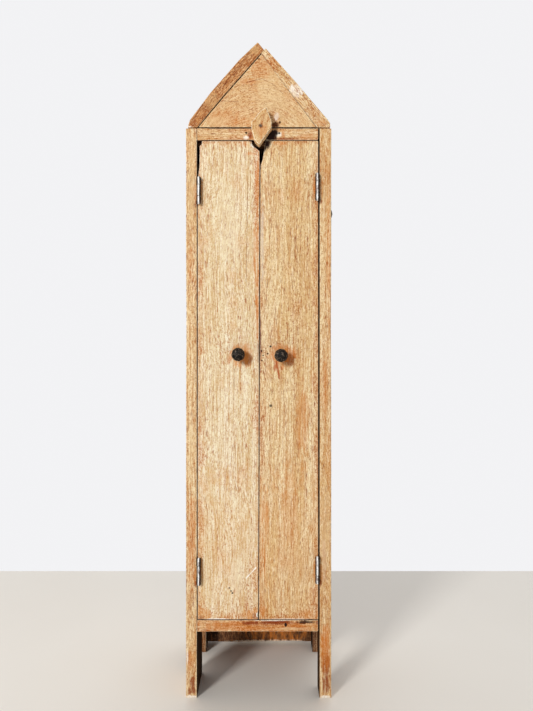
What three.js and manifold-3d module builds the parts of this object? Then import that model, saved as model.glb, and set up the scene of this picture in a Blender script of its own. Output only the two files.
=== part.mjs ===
// A tall narrow miniature wardrobe in old light wood: a plank carcass standing on feet cut from
// its side boards, a steep pointed roof, two full-height doors on butt hinges, iron knobs and
// a wooden turn button. Millimetres, +Z up, front facing -Y, origin on the ground under the centre.

import * as THREE from 'three';
import { mergeVertices } from 'three/addons/utils/BufferGeometryUtils.js';
import Module from 'manifold-3d';

const wasm = await Module();
wasm.setup();

// ---- Driving dimensions ----

const WIDTH = 140;
const WALL_HEIGHT = 550.6; // top of the side boards, where the roof starts
const APEX_HEIGHT = 634;
const BOARD_DEPTH = 97; // side boards, front to back
const BACK_THICKNESS = 8;
const KNOB_REACH = 13;
const TOTAL_DEPTH = BOARD_DEPTH + BACK_THICKNESS;
const FRONT = -(TOTAL_DEPTH - KNOB_REACH) / 2; // Y of the front plane
const BACK = FRONT + TOTAL_DEPTH;
const JOINT_GAP = 0.2; // glue line between fixed boards
const DARK_LINE = 0.4; // wider shadow line where the roof sits on the carcass

// Side boards: their front edges are the stiles and their lower ends are the feet.
const LEFT_INNER = -59.6;
const RIGHT_INNER = 58.6;
const ARCH_HEIGHT = 60; // clear height between the front and back feet
const ARCH_RADIUS = 3;
const LEFT_FOOT_DEPTH = 42;
const RIGHT_FOOT_DEPTH = 19;
const BACK_FOOT_START = 79;

// Rails, floor and ceiling.
const RAIL_DEPTH = 7.8;
const TOP_RAIL_BOTTOM = 539;
const BOTTOM_RAIL_BOTTOM = 64.1;
const BOTTOM_RAIL_TOP = 75.4;
const INNER_FRONT = FRONT + 8; // front edge of the boards that stop the doors
const INNER_BACK = FRONT + BOARD_DEPTH - JOINT_GAP;
const FLOOR_BOTTOM = 67;
const FLOOR_TOP = 78;
const CEILING_BOTTOM = 536;
const CEILING_TOP = 547.5;
const BACK_PANEL_BOTTOM = 2;

// Inside: a hat shelf over a hanging rail.
const SHELF_BOTTOM = 440;
const SHELF_TOP = 446;
const SHELF_SETBACK = 6;
const HANGING_RAIL = { radius: 3, depth: 52, height: 414 };
const SOCKET = { radius: 8, bore: 3.3, thickness: 6 };

// Doors.
const DOOR_THICKNESS = 7.5;
const DOOR_BOTTOM = 75.9;
const DOOR_TOP = 538.5;
const HINGE_EDGE_GAP = 1;
const SEAM = { bottom: -0.1, top: 1.35, width: 1 }; // the seam leans a little
const SEAM_BEVEL = 0.6; // the free edges lean back this much, so the doors swing clear

// Butt hinges, in a frame of their own: u points from the barrel to the side board,
// v from the barrel to the back, and z up from the middle of the barrel.
const HINGE_INSET = 2.1;
const BARREL_PROUD = 2.3; // barrel centre in front of the front plane
const BARREL_RADIUS = 2;
const BARREL_BORE = 1;
const PIN_RADIUS = 0.85;
const PIN_HEAD = { radius: 1.5, thickness: 0.5, gap: 0.1 };
const HINGE_LENGTH = 25.4;
const END_KNUCKLE = 7;
const KNUCKLE_GAP = 0.2;
const LEAF_WIDTH = 6.6;
const LEAF_CLEARANCE = 0.2;
const FRAME_LEAF = { near: 1.65, far: 2.5 };
const DOOR_LEAF = { near: 0.7, far: 1.55 };
const HINGE_SCREW = { head: 1.35, shank: 0.6, headLength: 0.75, length: 6.5, spacing: 15.4 };
const SCREW_DEPTH_IN_LEAF = 3.9;
const HINGES = [
  { side: 'left', level: 'top', height: 489.8 },
  { side: 'left', level: 'bottom', height: 123 },
  { side: 'right', level: 'top', height: 493.2 },
  { side: 'right', level: 'bottom', height: 124.5 },
];

// Turn button on the top rail.
const BUTTON_PIVOT = new THREE.Vector2(1.9, 549.2);
const BUTTON_THICKNESS = 8;
const BUTTON_GAP = 0.8;
const BUTTON_BORE = 1.2;
const BUTTON_BEVEL = 0.9;
const BUTTON_FACE_SCALE = 0.91; // the flat face inside the bevels
const BUTTON_CORNERS = [
  [-1.3, -18.2], [10.9, -1.5], [10.8, 2.3], [10.2, 6.1], [8.1, 11.6], [5.6, 17.8],
  [2.2, 16.2], [-2.1, 12.4], [-6.3, 6.5], [-8.8, 4.4], [-8.6, -2.3], [-5.9, -13.3],
]; // from the lower tip, anticlockwise, seen from the front
const BUTTON_NAIL = { head: 1.35, headThickness: 0.7, shank: 0.9, length: 15 };
const BUTTON_NAIL_BITE = 6.6; // how deep the nail's hole goes into the rail

// Knobs and small fasteners.
const KNOBS = { left: { x: -19.4, z: 332 }, right: { x: 21.5, z: 331 } };
const KNOB_TAPPING = { radius: 1.65, depth: 7 };
const KNOB_SCREW = { head: 3, headThickness: 1.8, shank: 1.5, length: 13.5 };
const DOOR_BORE = 1.8;
const TACK = { z: 469, setback: 6, head: 4.2, rise: 1.8, shank: 0.9, length: 8 };
const RAIL_NAIL = { head: 1, headThickness: 0.6, shank: 0.6, length: 17 };
const RAIL_NAILS = [['left', -12, 546], ['right', 20, 545.8]];
const PANEL_NAIL = { head: 1.7, headThickness: 0.6, shank: 0.75, length: 19 };
const PANEL_NAIL_HEIGHTS = { low: 92, middle: 305, high: 518 };
const PANEL_NAIL_INSET = 5.2;
const HOLE_SLACK = 0.12; // room between a fastener and its hole
const ROUND = 16; // sides of small round parts

// ---- Materials ----

function finish(color, roughness, metalness = 0) {
  return { color, roughness, metalness };
}

const FRAME_WOOD = finish(0xd9a767, 0.72);
const DOOR_WOOD = finish(0xe6c084, 0.7);
const GABLE_WOOD = finish(0xdcab68, 0.72);
const ROOF_WOOD = finish(0xc58f52, 0.75);
const BACK_WOOD = finish(0x7d5230, 0.85);
const INNER_WOOD = finish(0x9a6a3d, 0.8);
const RUSTY_STEEL = finish(0x8d7765, 0.45, 0.85);
const BLACK_IRON = finish(0x22211f, 0.5, 0.8);
const DARK_NAIL = finish(0x3a2a20, 0.6, 0.7);

const object = new THREE.Group();

function addPart(name, geometry, look) {
  geometry.computeVertexNormals();
  const mesh = new THREE.Mesh(geometry, new THREE.MeshStandardMaterial(look));
  mesh.name = name;
  object.add(mesh);
  return mesh;
}

// ---- Solids ----

// Local x, y and z of an extruded outline, so that it runs along the named axis.
const ALONG = {
  x: [[0, 1, 0], [0, 0, 1], [1, 0, 0]],
  y: [[1, 0, 0], [0, 0, 1], [0, -1, 0]],
  z: [[1, 0, 0], [0, 1, 0], [0, 0, 1]],
};

function asShape(outline) {
  if (outline instanceof THREE.Shape) return outline;
  return new THREE.Shape(outline.map(([a, b]) => new THREE.Vector2(a, b)));
}

// A straight bar of the given cross-section. The outline is in (y, z) for an x prism,
// (x, z) for a y prism and (x, y) for a z prism; low and high are its two ends.
function prism(axis, outline, low, high) {
  const geometry = new THREE.ExtrudeGeometry(asShape(outline), {
    depth: high - low, bevelEnabled: false, curveSegments: 6,
  });
  const [a, b, c] = ALONG[axis].map((v) => new THREE.Vector3(...v));
  geometry.applyMatrix4(new THREE.Matrix4().makeBasis(a, b, c));
  const start = axis === 'y' ? high : low;
  geometry.translate(...['x', 'y', 'z'].map((name) => (name === axis ? start : 0)));
  return geometry;
}

function box([x0, x1], [y0, y1], [z0, z1]) {
  return prism('z', [[x0, y0], [x1, y0], [x1, y1], [x0, y1]], z0, z1);
}

// A board through two or more sections, front to back. Each section is an outline in (x, z) at
// one y, anticlockwise as seen from the front, and all outlines have matching corners.
function loftedBoard(sections) {
  const count = sections[0].outline.length;
  const places = sections.flatMap(({ outline, y }) => outline.flatMap(([x, z]) => [x, y, z]));
  const faces = [];
  const last = count * (sections.length - 1);
  const contour = sections[0].outline.map(([x, z]) => new THREE.Vector2(x, z));
  for (const [a, b, c] of THREE.ShapeUtils.triangulateShape(contour, [])) {
    faces.push(a, b, c, last + c, last + b, last + a);
  }
  for (let ring = 0; ring < last; ring += count) {
    for (let i = 0; i < count; i += 1) {
      const [a, b] = [ring + i, ring + ((i + 1) % count)];
      faces.push(a, a + count, b + count, a, b + count, b);
    }
  }
  const geometry = new THREE.BufferGeometry();
  geometry.setAttribute('position', new THREE.Float32BufferAttribute(places, 3));
  geometry.setIndex(faces);
  return geometry;
}

// A turned solid: the profile is [radius, distance] pairs along the given direction.
function turned(profile, place, direction, sides = ROUND) {
  const points = profile.map(([radius, along]) => new THREE.Vector2(radius, along));
  const geometry = new THREE.LatheGeometry(points, sides);
  const up = new THREE.Vector3(0, 1, 0);
  const turn = new THREE.Quaternion().setFromUnitVectors(up, new THREE.Vector3(...direction));
  geometry.applyQuaternion(turn);
  geometry.translate(...place);
  return geometry;
}

function toSolid(source) {
  const geometry = source.clone();
  geometry.deleteAttribute('normal');
  geometry.deleteAttribute('uv');
  const merged = mergeVertices(geometry, 1e-4);
  return new wasm.Manifold(new wasm.Mesh({
    numProp: 3,
    vertProperties: merged.attributes.position.array,
    triVerts: new Uint32Array(merged.index.array),
  }));
}

function toGeometry(solid) {
  const mesh = solid.getMesh();
  const geometry = new THREE.BufferGeometry();
  geometry.setAttribute('position', new THREE.Float32BufferAttribute(mesh.vertProperties, 3));
  geometry.setIndex(new THREE.Uint32BufferAttribute(mesh.triVerts, 1));
  return geometry;
}

function without(body, cutters) {
  return toGeometry(cutters.reduce((solid, cutter) => solid.subtract(toSolid(cutter)), toSolid(body)));
}

function joined(pieces) {
  return toGeometry(pieces.map(toSolid).reduce((all, piece) => all.add(piece)));
}

// ---- Fasteners: a profile that runs into the wood from the top of the head ----

function nailProfile({ head, headThickness, shank, length }, slack = 0) {
  const top = slack > 0 ? -1 : 0;
  return [
    [0, top], [head + slack, top], [head + slack, headThickness + slack],
    [shank + slack, headThickness + slack], [shank + slack, length - shank],
    [0, length + slack],
  ];
}

function countersunkProfile(slack = 0) {
  const { head, shank, headLength, length } = HINGE_SCREW;
  const top = slack > 0 ? -0.3 : 0;
  return [
    [0, top], [head + slack, top], [head + slack, slack], [shank + slack, headLength + slack],
    [shank + slack, length - 1], [0, length + slack],
  ].filter(([radius, along], i, all) => i === 0 || along !== all[i - 1][1] || radius !== all[i - 1][0]);
}

// ---- Hinge layout ----

const SIGN = { left: -1, right: 1 };
const INNER_FACE = { left: LEFT_INNER, right: RIGHT_INNER };
const AXIS_X = { left: LEFT_INNER + HINGE_INSET, right: RIGHT_INNER - HINGE_INSET };
const AXIS_Y = FRONT - BARREL_PROUD;

function hingePlace(side, u, v) {
  return [AXIS_X[side] + SIGN[side] * u, AXIS_Y + v];
}

// An upright box in hinge coordinates.
function hingeBox(side, [u0, u1], [v0, v1], z0, z1) {
  const corners = [[u0, v0], [u1, v0], [u1, v1], [u0, v1]];
  return prism('z', corners.map(([u, v]) => hingePlace(side, u, v)), z0, z1);
}

// Each hinge screw's head place and direction, for the frame leaf or the door leaf.
function hingeScrews({ side, height }, leaf) {
  const inFrame = leaf === FRAME_LEAF;
  const u = inFrame ? leaf.near + 0.05 : leaf.far - 0.05;
  const direction = [(inFrame ? 1 : -1) * SIGN[side], 0, 0];
  const [x, y] = hingePlace(side, u, BARREL_PROUD + SCREW_DEPTH_IN_LEAF);
  return [['upper', 1], ['lower', -1]].map(([level, up]) => ({
    level, direction, place: [x, y, height + (up * HINGE_SCREW.spacing) / 2],
  }));
}

// The recess for one leaf, with the pilot holes of its screws.
function hingeRecess(hinge, leaf) {
  const inFrame = leaf === FRAME_LEAF;
  const reach = inFrame
    ? [HINGE_INSET - 1, leaf.far + LEAF_CLEARANCE]
    : [leaf.near - LEAF_CLEARANCE, HINGE_INSET];
  const half = HINGE_LENGTH / 2 + LEAF_CLEARANCE;
  const span = [BARREL_PROUD - 1, BARREL_PROUD + LEAF_WIDTH + LEAF_CLEARANCE];
  const pocket = hingeBox(hinge.side, reach, span, hinge.height - half, hinge.height + half);
  const pilots = hingeScrews(hinge, leaf).map(({ place, direction }) => (
    turned(countersunkProfile(HOLE_SLACK), place, direction, 8)
  ));
  return [pocket, ...pilots];
}

function hingesOn(side) {
  return HINGES.filter((hinge) => hinge.side === side);
}

// ---- Carcass ----

// A side board seen from the side, in (y, z): one arch is cut out between its two feet.
function sideOutline(footDepth) {
  const archFront = FRONT + footDepth;
  const archBack = FRONT + BACK_FOOT_START;
  const shape = new THREE.Shape();
  shape.moveTo(FRONT, 0);
  shape.lineTo(archFront, 0);
  shape.lineTo(archFront, ARCH_HEIGHT - ARCH_RADIUS);
  shape.quadraticCurveTo(archFront, ARCH_HEIGHT, archFront + ARCH_RADIUS, ARCH_HEIGHT);
  shape.lineTo(archBack - ARCH_RADIUS, ARCH_HEIGHT);
  shape.quadraticCurveTo(archBack, ARCH_HEIGHT, archBack, ARCH_HEIGHT - ARCH_RADIUS);
  shape.lineTo(archBack, 0);
  shape.lineTo(FRONT + BOARD_DEPTH, 0);
  shape.lineTo(FRONT + BOARD_DEPTH, WALL_HEIGHT);
  shape.lineTo(FRONT, WALL_HEIGHT);
  return shape;
}

function panelNails() {
  return ['left', 'right'].flatMap((side) => (
    Object.entries(PANEL_NAIL_HEIGHTS).map(([level, z]) => ({
      name: `back_nail_${side}_${level}`,
      side,
      place: [SIGN[side] * (WIDTH / 2 - PANEL_NAIL_INSET), BACK, z],
      direction: [0, -1, 0],
    }))
  ));
}

function panelNailHoles(nails) {
  return nails.map(({ place, direction }) => (
    turned(nailProfile(PANEL_NAIL, HOLE_SLACK), place, direction, 8)
  ));
}

function tackHole() {
  const { z, setback, shank, length } = TACK;
  const profile = [[0, -1], [shank + HOLE_SLACK, -1], [shank + HOLE_SLACK, length - 1], [0, length]];
  return turned(profile, [WIDTH / 2, FRONT + setback, z], [-1, 0, 0], 8);
}

function sideBoard(side) {
  const footDepth = side === 'left' ? LEFT_FOOT_DEPTH : RIGHT_FOOT_DEPTH;
  const ends = [SIGN[side] * (WIDTH / 2), INNER_FACE[side]].sort((a, b) => a - b);
  const board = prism('x', sideOutline(footDepth), ...ends);
  const cutters = hingesOn(side).flatMap((hinge) => hingeRecess(hinge, FRAME_LEAF));
  cutters.push(...panelNailHoles(panelNails().filter((nail) => nail.side === side)));
  if (side === 'right') cutters.push(tackHole());
  return without(board, cutters);
}

const BETWEEN_SIDES = [LEFT_INNER + JOINT_GAP, RIGHT_INNER - JOINT_GAP];

function railNails() {
  return RAIL_NAILS.map(([side, x, z]) => ({
    name: `rail_nail_${side}`, place: [x, FRONT, z], direction: [0, 1, 0],
  }));
}

function railNailHoles() {
  return railNails().map(({ place, direction }) => (
    turned(nailProfile(RAIL_NAIL, HOLE_SLACK), place, direction, 8)
  ));
}

function buttonNailHole() {
  const { shank } = BUTTON_NAIL;
  const radius = shank + HOLE_SLACK;
  const profile = [[0, -1], [radius, -1], [radius, BUTTON_NAIL_BITE - 1], [0, BUTTON_NAIL_BITE]];
  return turned(profile, [BUTTON_PIVOT.x, FRONT, BUTTON_PIVOT.y], [0, 1, 0], 8);
}

function topRail() {
  const levels = [TOP_RAIL_BOTTOM, WALL_HEIGHT];
  const bar = box(BETWEEN_SIDES, [FRONT, FRONT + RAIL_DEPTH], levels);
  return without(bar, [...railNailHoles(), buttonNailHole()]);
}

function bottomRail() {
  const levels = [BOTTOM_RAIL_BOTTOM, BOTTOM_RAIL_TOP];
  return box(BETWEEN_SIDES, [FRONT, FRONT + RAIL_DEPTH], levels);
}

function backPanel() {
  const reach = [-WIDTH / 2 + 0.5, WIDTH / 2 - 0.5];
  const depth = [FRONT + BOARD_DEPTH + JOINT_GAP, BACK];
  const board = box(reach, depth, [BACK_PANEL_BOTTOM, WALL_HEIGHT]);
  return without(board, panelNailHoles(panelNails()));
}

function addCarcass() {
  addPart('left_side_board', sideBoard('left'), FRAME_WOOD);
  addPart('right_side_board', sideBoard('right'), FRAME_WOOD);
  addPart('top_rail', topRail(), FRAME_WOOD);
  addPart('bottom_rail', bottomRail(), FRAME_WOOD);
  const depth = [INNER_FRONT, INNER_BACK];
  addPart('floor_board', box(BETWEEN_SIDES, depth, [FLOOR_BOTTOM, FLOOR_TOP]), INNER_WOOD);
  const ceiling = box(BETWEEN_SIDES, depth, [CEILING_BOTTOM, CEILING_TOP]);
  addPart('ceiling_board', without(ceiling, railNailHoles()), INNER_WOOD);
  addPart('back_panel', backPanel(), BACK_WOOD);
  for (const { name, place, direction } of panelNails()) {
    addPart(name, turned(nailProfile(PANEL_NAIL), place, direction, 12), DARK_NAIL);
  }
  for (const { name, place, direction } of railNails()) {
    addPart(name, turned(nailProfile(RAIL_NAIL), place, direction, 12), DARK_NAIL);
  }
}

// ---- Roof: two sloping boards, the left one lapping over the right, and two gable boards ----

const EAVE = WALL_HEIGHT + DARK_LINE; // underside of the roof
const APEX = [-0.8, APEX_HEIGHT];
const LEFT_SLOPE = [[-19, 616.6], [-46.2, 585.6], [-66.6, 558.6], [-67.9, 554.6]]; // bulges a little
const LEFT_FOOT = -68.5; // where the left board's outer edge meets the eave line
const LAP = [5.3, 626.5]; // where the left board's end meets the right board
const LEFT_KNEE = [-37, 578.5]; // the underside of the left board turns steeper below this point
const LEFT_SOFFIT = -59.2; // where the left board's underside reaches the eave line
const RIGHT_SLOPE = [[69.2, 555.4], [67.4, 558.3], [37.6, 593.4], [7, 627.6]];
const RIGHT_FOOT = 69.2;
const RIGHT_SOFFIT = 56.2;
const RIGHT_KNEE = [27.6, 589.3]; // the right board thickens below this point
const RIDGE_JOINT = [2.3, 623]; // top of the gable, under the lap

function addRoof() {
  const left = [APEX, ...LEFT_SLOPE, [LEFT_FOOT, EAVE], [LEFT_SOFFIT, EAVE], LEFT_KNEE, LAP];
  addPart('left_roof_board', prism('y', left, FRONT, BACK), ROOF_WOOD);
  const g = JOINT_GAP;
  const right = [
    [LAP[0] + g, LAP[1] - g], [RIDGE_JOINT[0] + g, RIDGE_JOINT[1] - g], RIGHT_KNEE,
    [RIGHT_SOFFIT, EAVE], [RIGHT_FOOT, EAVE], ...RIGHT_SLOPE,
  ];
  addPart('right_roof_board', prism('y', right, FRONT, BACK), ROOF_WOOD);
  const gable = [
    [LEFT_SOFFIT + 2 * g, EAVE], [LEFT_KNEE[0] + 2 * g, LEFT_KNEE[1] - g],
    [RIDGE_JOINT[0], RIDGE_JOINT[1] - 3 * g],
    [RIGHT_KNEE[0] - 2 * g, RIGHT_KNEE[1] - g], [RIGHT_SOFFIT - 2 * g, EAVE],
  ];
  const thickness = DOOR_THICKNESS + 1;
  addPart('front_gable_board', prism('y', gable, FRONT, FRONT + thickness), GABLE_WOOD);
  addPart('back_gable_board', prism('y', gable, BACK - thickness, BACK), BACK_WOOD);
}

// ---- Inside fittings ----

function addInterior() {
  const depth = [INNER_FRONT + SHELF_SETBACK, INNER_BACK];
  addPart('hat_shelf', box(BETWEEN_SIDES, depth, [SHELF_BOTTOM, SHELF_TOP]), INNER_WOOD);
  const { radius, depth: railDepth, height } = HANGING_RAIL;
  const y = FRONT + railDepth;
  const start = LEFT_INNER + 2 * JOINT_GAP;
  const length = RIGHT_INNER - LEFT_INNER - 4 * JOINT_GAP;
  const dowel = [[0, 0], [radius, 0], [radius, length], [0, length]];
  addPart('hanging_rail', turned(dowel, [start, y, height], [1, 0, 0]), INNER_WOOD);
  const { radius: outer, bore, thickness } = SOCKET;
  const ring = [[bore, 0], [outer, 0], [outer - 1, thickness], [bore, thickness], [bore, 0]];
  for (const side of ['left', 'right']) {
    const x = INNER_FACE[side] - SIGN[side] * JOINT_GAP;
    addPart(`${side}_rail_socket`, turned(ring, [x, y, height], [-SIGN[side], 0, 0]), INNER_WOOD);
  }
}

// ---- Doors ----

// The free edges and worn corners, in (x, z). The inner top corners are worn back beside the
// button's lower tip, and the left door has also lost its outer top corner.
const LEFT_HINGE_EDGE = LEFT_INNER + HINGE_EDGE_GAP;
const RIGHT_HINGE_EDGE = RIGHT_INNER - HINGE_EDGE_GAP;
const HALF_SEAM = SEAM.width / 2;
const LEFT_FREE_EDGE = [
  [SEAM.bottom - HALF_SEAM, DOOR_BOTTOM], [SEAM.top - HALF_SEAM, 519],
  [-0.7, 529.8], [-2.9, 533.4], [-5.2, 535.9], [-6.2, DOOR_TOP],
];
const LEFT_OUTER_EDGE = [
  [-54.8, DOOR_TOP], [-55.2, 534.8], [-57.5, 533.6], [-57.8, 514], [LEFT_HINGE_EDGE, 503],
];
const RIGHT_FREE_EDGE = [
  [6.7, DOOR_TOP], [4.4, 524], [3.1, 518], [SEAM.top + HALF_SEAM, 515.5],
  [SEAM.bottom + HALF_SEAM, DOOR_BOTTOM],
];

function doorOutline(side, bevel) {
  if (side === 'left') {
    const free = LEFT_FREE_EDGE.map(([x, z]) => [x - bevel, z]);
    return [[LEFT_HINGE_EDGE, DOOR_BOTTOM], ...free, ...LEFT_OUTER_EDGE];
  }
  const free = RIGHT_FREE_EDGE.map(([x, z]) => [x + bevel, z]);
  return [[RIGHT_HINGE_EDGE, DOOR_BOTTOM], [RIGHT_HINGE_EDGE, DOOR_TOP], ...free];
}

function door(side) {
  const board = loftedBoard([
    { outline: doorOutline(side, 0), y: FRONT },
    { outline: doorOutline(side, SEAM_BEVEL), y: FRONT + DOOR_THICKNESS },
  ]);
  const { x, z } = KNOBS[side];
  const bore = [[0, -1], [DOOR_BORE, -1], [DOOR_BORE, DOOR_THICKNESS + 1], [0, DOOR_THICKNESS + 1]];
  const cutters = hingesOn(side).flatMap((hinge) => hingeRecess(hinge, DOOR_LEAF));
  cutters.push(turned(bore, [x, FRONT, z], [0, 1, 0]));
  return without(board, cutters);
}

// A forged knob: a flared foot, a narrow neck and a low domed head, with a tapped hole.
function knob(side) {
  const { x, z } = KNOBS[side];
  const { radius, depth } = KNOB_TAPPING;
  const profile = [[0, depth], [radius, depth - 1], [radius, 0.1], [4.1, 0.1], [3.9, 1.2], [3.2, 2.6]];
  profile.push([3.1, 5], [3.8, 6.1], [5.6, 6.9], [6.35, 8.2]);
  profile.push([6.2, 10], [5.2, 11.7], [3.3, 12.7], [1.4, KNOB_REACH], [0, KNOB_REACH]);
  return turned(profile, [x, FRONT, z], [0, -1, 0], 20);
}

function knobScrew(side) {
  const { x, z } = KNOBS[side];
  const { head, headThickness, shank, length } = KNOB_SCREW;
  const profile = [
    [0, -headThickness], [head * 0.6, -headThickness], [head, -headThickness / 2], [head, 0],
    [shank, 0], [shank, length - 0.7], [shank - 0.7, length], [0, length],
  ];
  return turned(profile, [x, FRONT + DOOR_THICKNESS + 0.1, z], [0, -1, 0], 12);
}

function addDoors() {
  for (const side of ['left', 'right']) {
    addPart(`${side}_door`, door(side), DOOR_WOOD);
    addPart(`${side}_knob`, knob(side), BLACK_IRON);
    addPart(`${side}_knob_screw`, knobScrew(side), BLACK_IRON);
  }
}

// ---- Hinges: a leaf on the frame with two knuckles, a leaf on the door with one, and a pin ----

function leafHoles(hinge, leaf) {
  return hingeScrews(hinge, leaf).map(({ place, direction }) => (
    turned(countersunkProfile(HOLE_SLACK), place, direction, 8)
  ));
}

// The barrel piece and its web to the leaf, between two heights.
function knuckle(side, leaf, z0, z1) {
  const tube = [[BARREL_BORE, 0], [BARREL_RADIUS, 0], [BARREL_RADIUS, z1 - z0]];
  tube.push([BARREL_BORE, z1 - z0], [BARREL_BORE, 0]);
  const barrel = turned(tube, [AXIS_X[side], AXIS_Y, z0], [0, 0, 1]);
  const start = leaf === FRAME_LEAF ? 0 : 1;
  const web = hingeBox(side, [leaf.near, leaf.far], [start, BARREL_PROUD + 0.5], z0, z1);
  return [barrel, web];
}

function hingeLeaf(hinge, leaf) {
  const { side, height } = hinge;
  const low = height - HINGE_LENGTH / 2;
  const high = height + HINGE_LENGTH / 2;
  const span = [BARREL_PROUD, BARREL_PROUD + LEAF_WIDTH];
  const pieces = [hingeBox(side, [leaf.near, leaf.far], span, low, high)];
  if (leaf === FRAME_LEAF) {
    pieces.push(...knuckle(side, leaf, low, low + END_KNUCKLE));
    pieces.push(...knuckle(side, leaf, high - END_KNUCKLE, high));
  } else {
    const trim = END_KNUCKLE + KNUCKLE_GAP;
    pieces.push(...knuckle(side, leaf, low + trim, high - trim));
  }
  return without(joined(pieces), leafHoles(hinge, leaf));
}

function hingePin({ side, height }) {
  const { radius, thickness, gap } = PIN_HEAD;
  const half = HINGE_LENGTH / 2 + gap;
  const end = half + thickness;
  const profile = [
    [0, -end], [radius * 0.7, -end], [radius, -half], [PIN_RADIUS, -half],
    [PIN_RADIUS, half], [radius, half], [radius * 0.7, end], [0, end],
  ];
  return turned(profile, [AXIS_X[side], AXIS_Y, height], [0, 0, 1]);
}

// A countersunk wood screw with a slot across its head.
function hingeScrew({ place, direction }) {
  const [x, y, z] = place;
  const slotHalf = 0.18;
  const slotDepth = 0.3;
  const reach = [x - direction[0], x + direction[0] * slotDepth].sort((a, b) => a - b);
  const slot = box(reach, [y - 2, y + 2], [z - slotHalf, z + slotHalf]);
  return without(turned(countersunkProfile(), place, direction, 12), [slot]);
}

function addHinges() {
  for (const hinge of HINGES) {
    const name = `${hinge.side}_${hinge.level}_hinge`;
    for (const [part, leaf] of [['frame', FRAME_LEAF], ['door', DOOR_LEAF]]) {
      addPart(`${name}_${part}_leaf`, hingeLeaf(hinge, leaf), RUSTY_STEEL);
      for (const screw of hingeScrews(hinge, leaf)) {
        addPart(`${name}_${part}_screw_${screw.level}`, hingeScrew(screw), RUSTY_STEEL);
      }
    }
    addPart(`${name}_pin`, hingePin(hinge), RUSTY_STEEL);
  }
}

// ---- Turn button and tack ----

// A rounded lozenge with bevelled front edges.
function turnButton() {
  const back = FRONT - BUTTON_GAP;
  const face = back - BUTTON_THICKNESS;
  const at = (scale) => BUTTON_CORNERS.map(([x, z]) => (
    [BUTTON_PIVOT.x + x * scale, BUTTON_PIVOT.y + z * scale]
  ));
  const body = loftedBoard([
    { outline: at(BUTTON_FACE_SCALE), y: face },
    { outline: at(1), y: face + BUTTON_BEVEL },
    { outline: at(1), y: back },
  ]);
  const through = 2 * BUTTON_THICKNESS;
  const bore = [[0, -1], [BUTTON_BORE, -1], [BUTTON_BORE, through], [0, through]];
  const hole = turned(bore, [BUTTON_PIVOT.x, face, BUTTON_PIVOT.y], [0, 1, 0]);
  return without(body, [hole]);
}

function buttonNail() {
  const { headThickness } = BUTTON_NAIL;
  const top = FRONT - BUTTON_GAP - BUTTON_THICKNESS - headThickness - 0.1;
  return turned(nailProfile(BUTTON_NAIL), [BUTTON_PIVOT.x, top, BUTTON_PIVOT.y], [0, 1, 0]);
}

// A round-headed tack in the outer face of the right side board.
function sideTack() {
  const { z, setback, head, rise, shank, length } = TACK;
  const clear = 0.1;
  const profile = [
    [0, -clear - rise], [head * 0.4, -clear - rise * 0.92], [head * 0.75, -clear - rise * 0.6],
    [head, -clear - 0.3], [head, -clear], [shank, -clear], [shank, length - 1.6], [0, length - 0.3],
  ];
  return turned(profile, [WIDTH / 2, FRONT + setback, z], [-1, 0, 0]);
}

function addTrim() {
  addPart('turn_button', turnButton(), FRAME_WOOD);
  addPart('turn_button_nail', buttonNail(), DARK_NAIL);
  addPart('side_tack', sideTack(), BLACK_IRON);
}

addCarcass();
addRoof();
addInterior();
addDoors();
addHinges();
addTrim();

export default object;
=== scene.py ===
# The looks of the miniature wardrobe: worn planks with rounded, rubbed edges, old streaky wood,
# rusty butt hinges, hammered iron knobs. Outlines are in millimetres, as in the CAD part, and
# meshes are in metres, in the same frame: +Z up, the doors facing -Y.
import math

import bmesh
import bpy
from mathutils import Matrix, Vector, noise


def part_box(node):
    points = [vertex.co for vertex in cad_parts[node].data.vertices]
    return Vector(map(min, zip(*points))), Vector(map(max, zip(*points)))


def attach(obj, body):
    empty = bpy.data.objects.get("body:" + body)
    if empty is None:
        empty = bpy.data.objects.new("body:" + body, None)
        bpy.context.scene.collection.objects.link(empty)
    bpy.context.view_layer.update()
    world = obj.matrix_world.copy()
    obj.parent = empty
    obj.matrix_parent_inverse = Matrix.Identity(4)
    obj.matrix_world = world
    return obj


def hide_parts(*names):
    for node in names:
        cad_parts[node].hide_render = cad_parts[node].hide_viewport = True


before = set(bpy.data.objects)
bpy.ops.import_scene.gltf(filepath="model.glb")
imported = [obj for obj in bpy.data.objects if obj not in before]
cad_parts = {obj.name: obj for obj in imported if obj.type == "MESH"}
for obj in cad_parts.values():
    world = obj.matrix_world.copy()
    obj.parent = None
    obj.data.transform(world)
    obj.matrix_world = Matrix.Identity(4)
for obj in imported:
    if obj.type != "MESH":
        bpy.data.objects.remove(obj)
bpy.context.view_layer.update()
MM = 0.001


def cad(node):
    """The CAD node's box in millimetres: lowest corner, highest corner."""
    low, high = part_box(node)
    return low / MM, high / MM


# ---- Shape tools ----

def rough(u, v, seed, scale):
    """Smooth noise from -1 to 1 over a plane; scale is the size of its bumps in mm."""
    return noise.noise(Vector((u / scale, v / scale, seed * 7.31 + 0.5)))


CORNER_STEPS = 4


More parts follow.
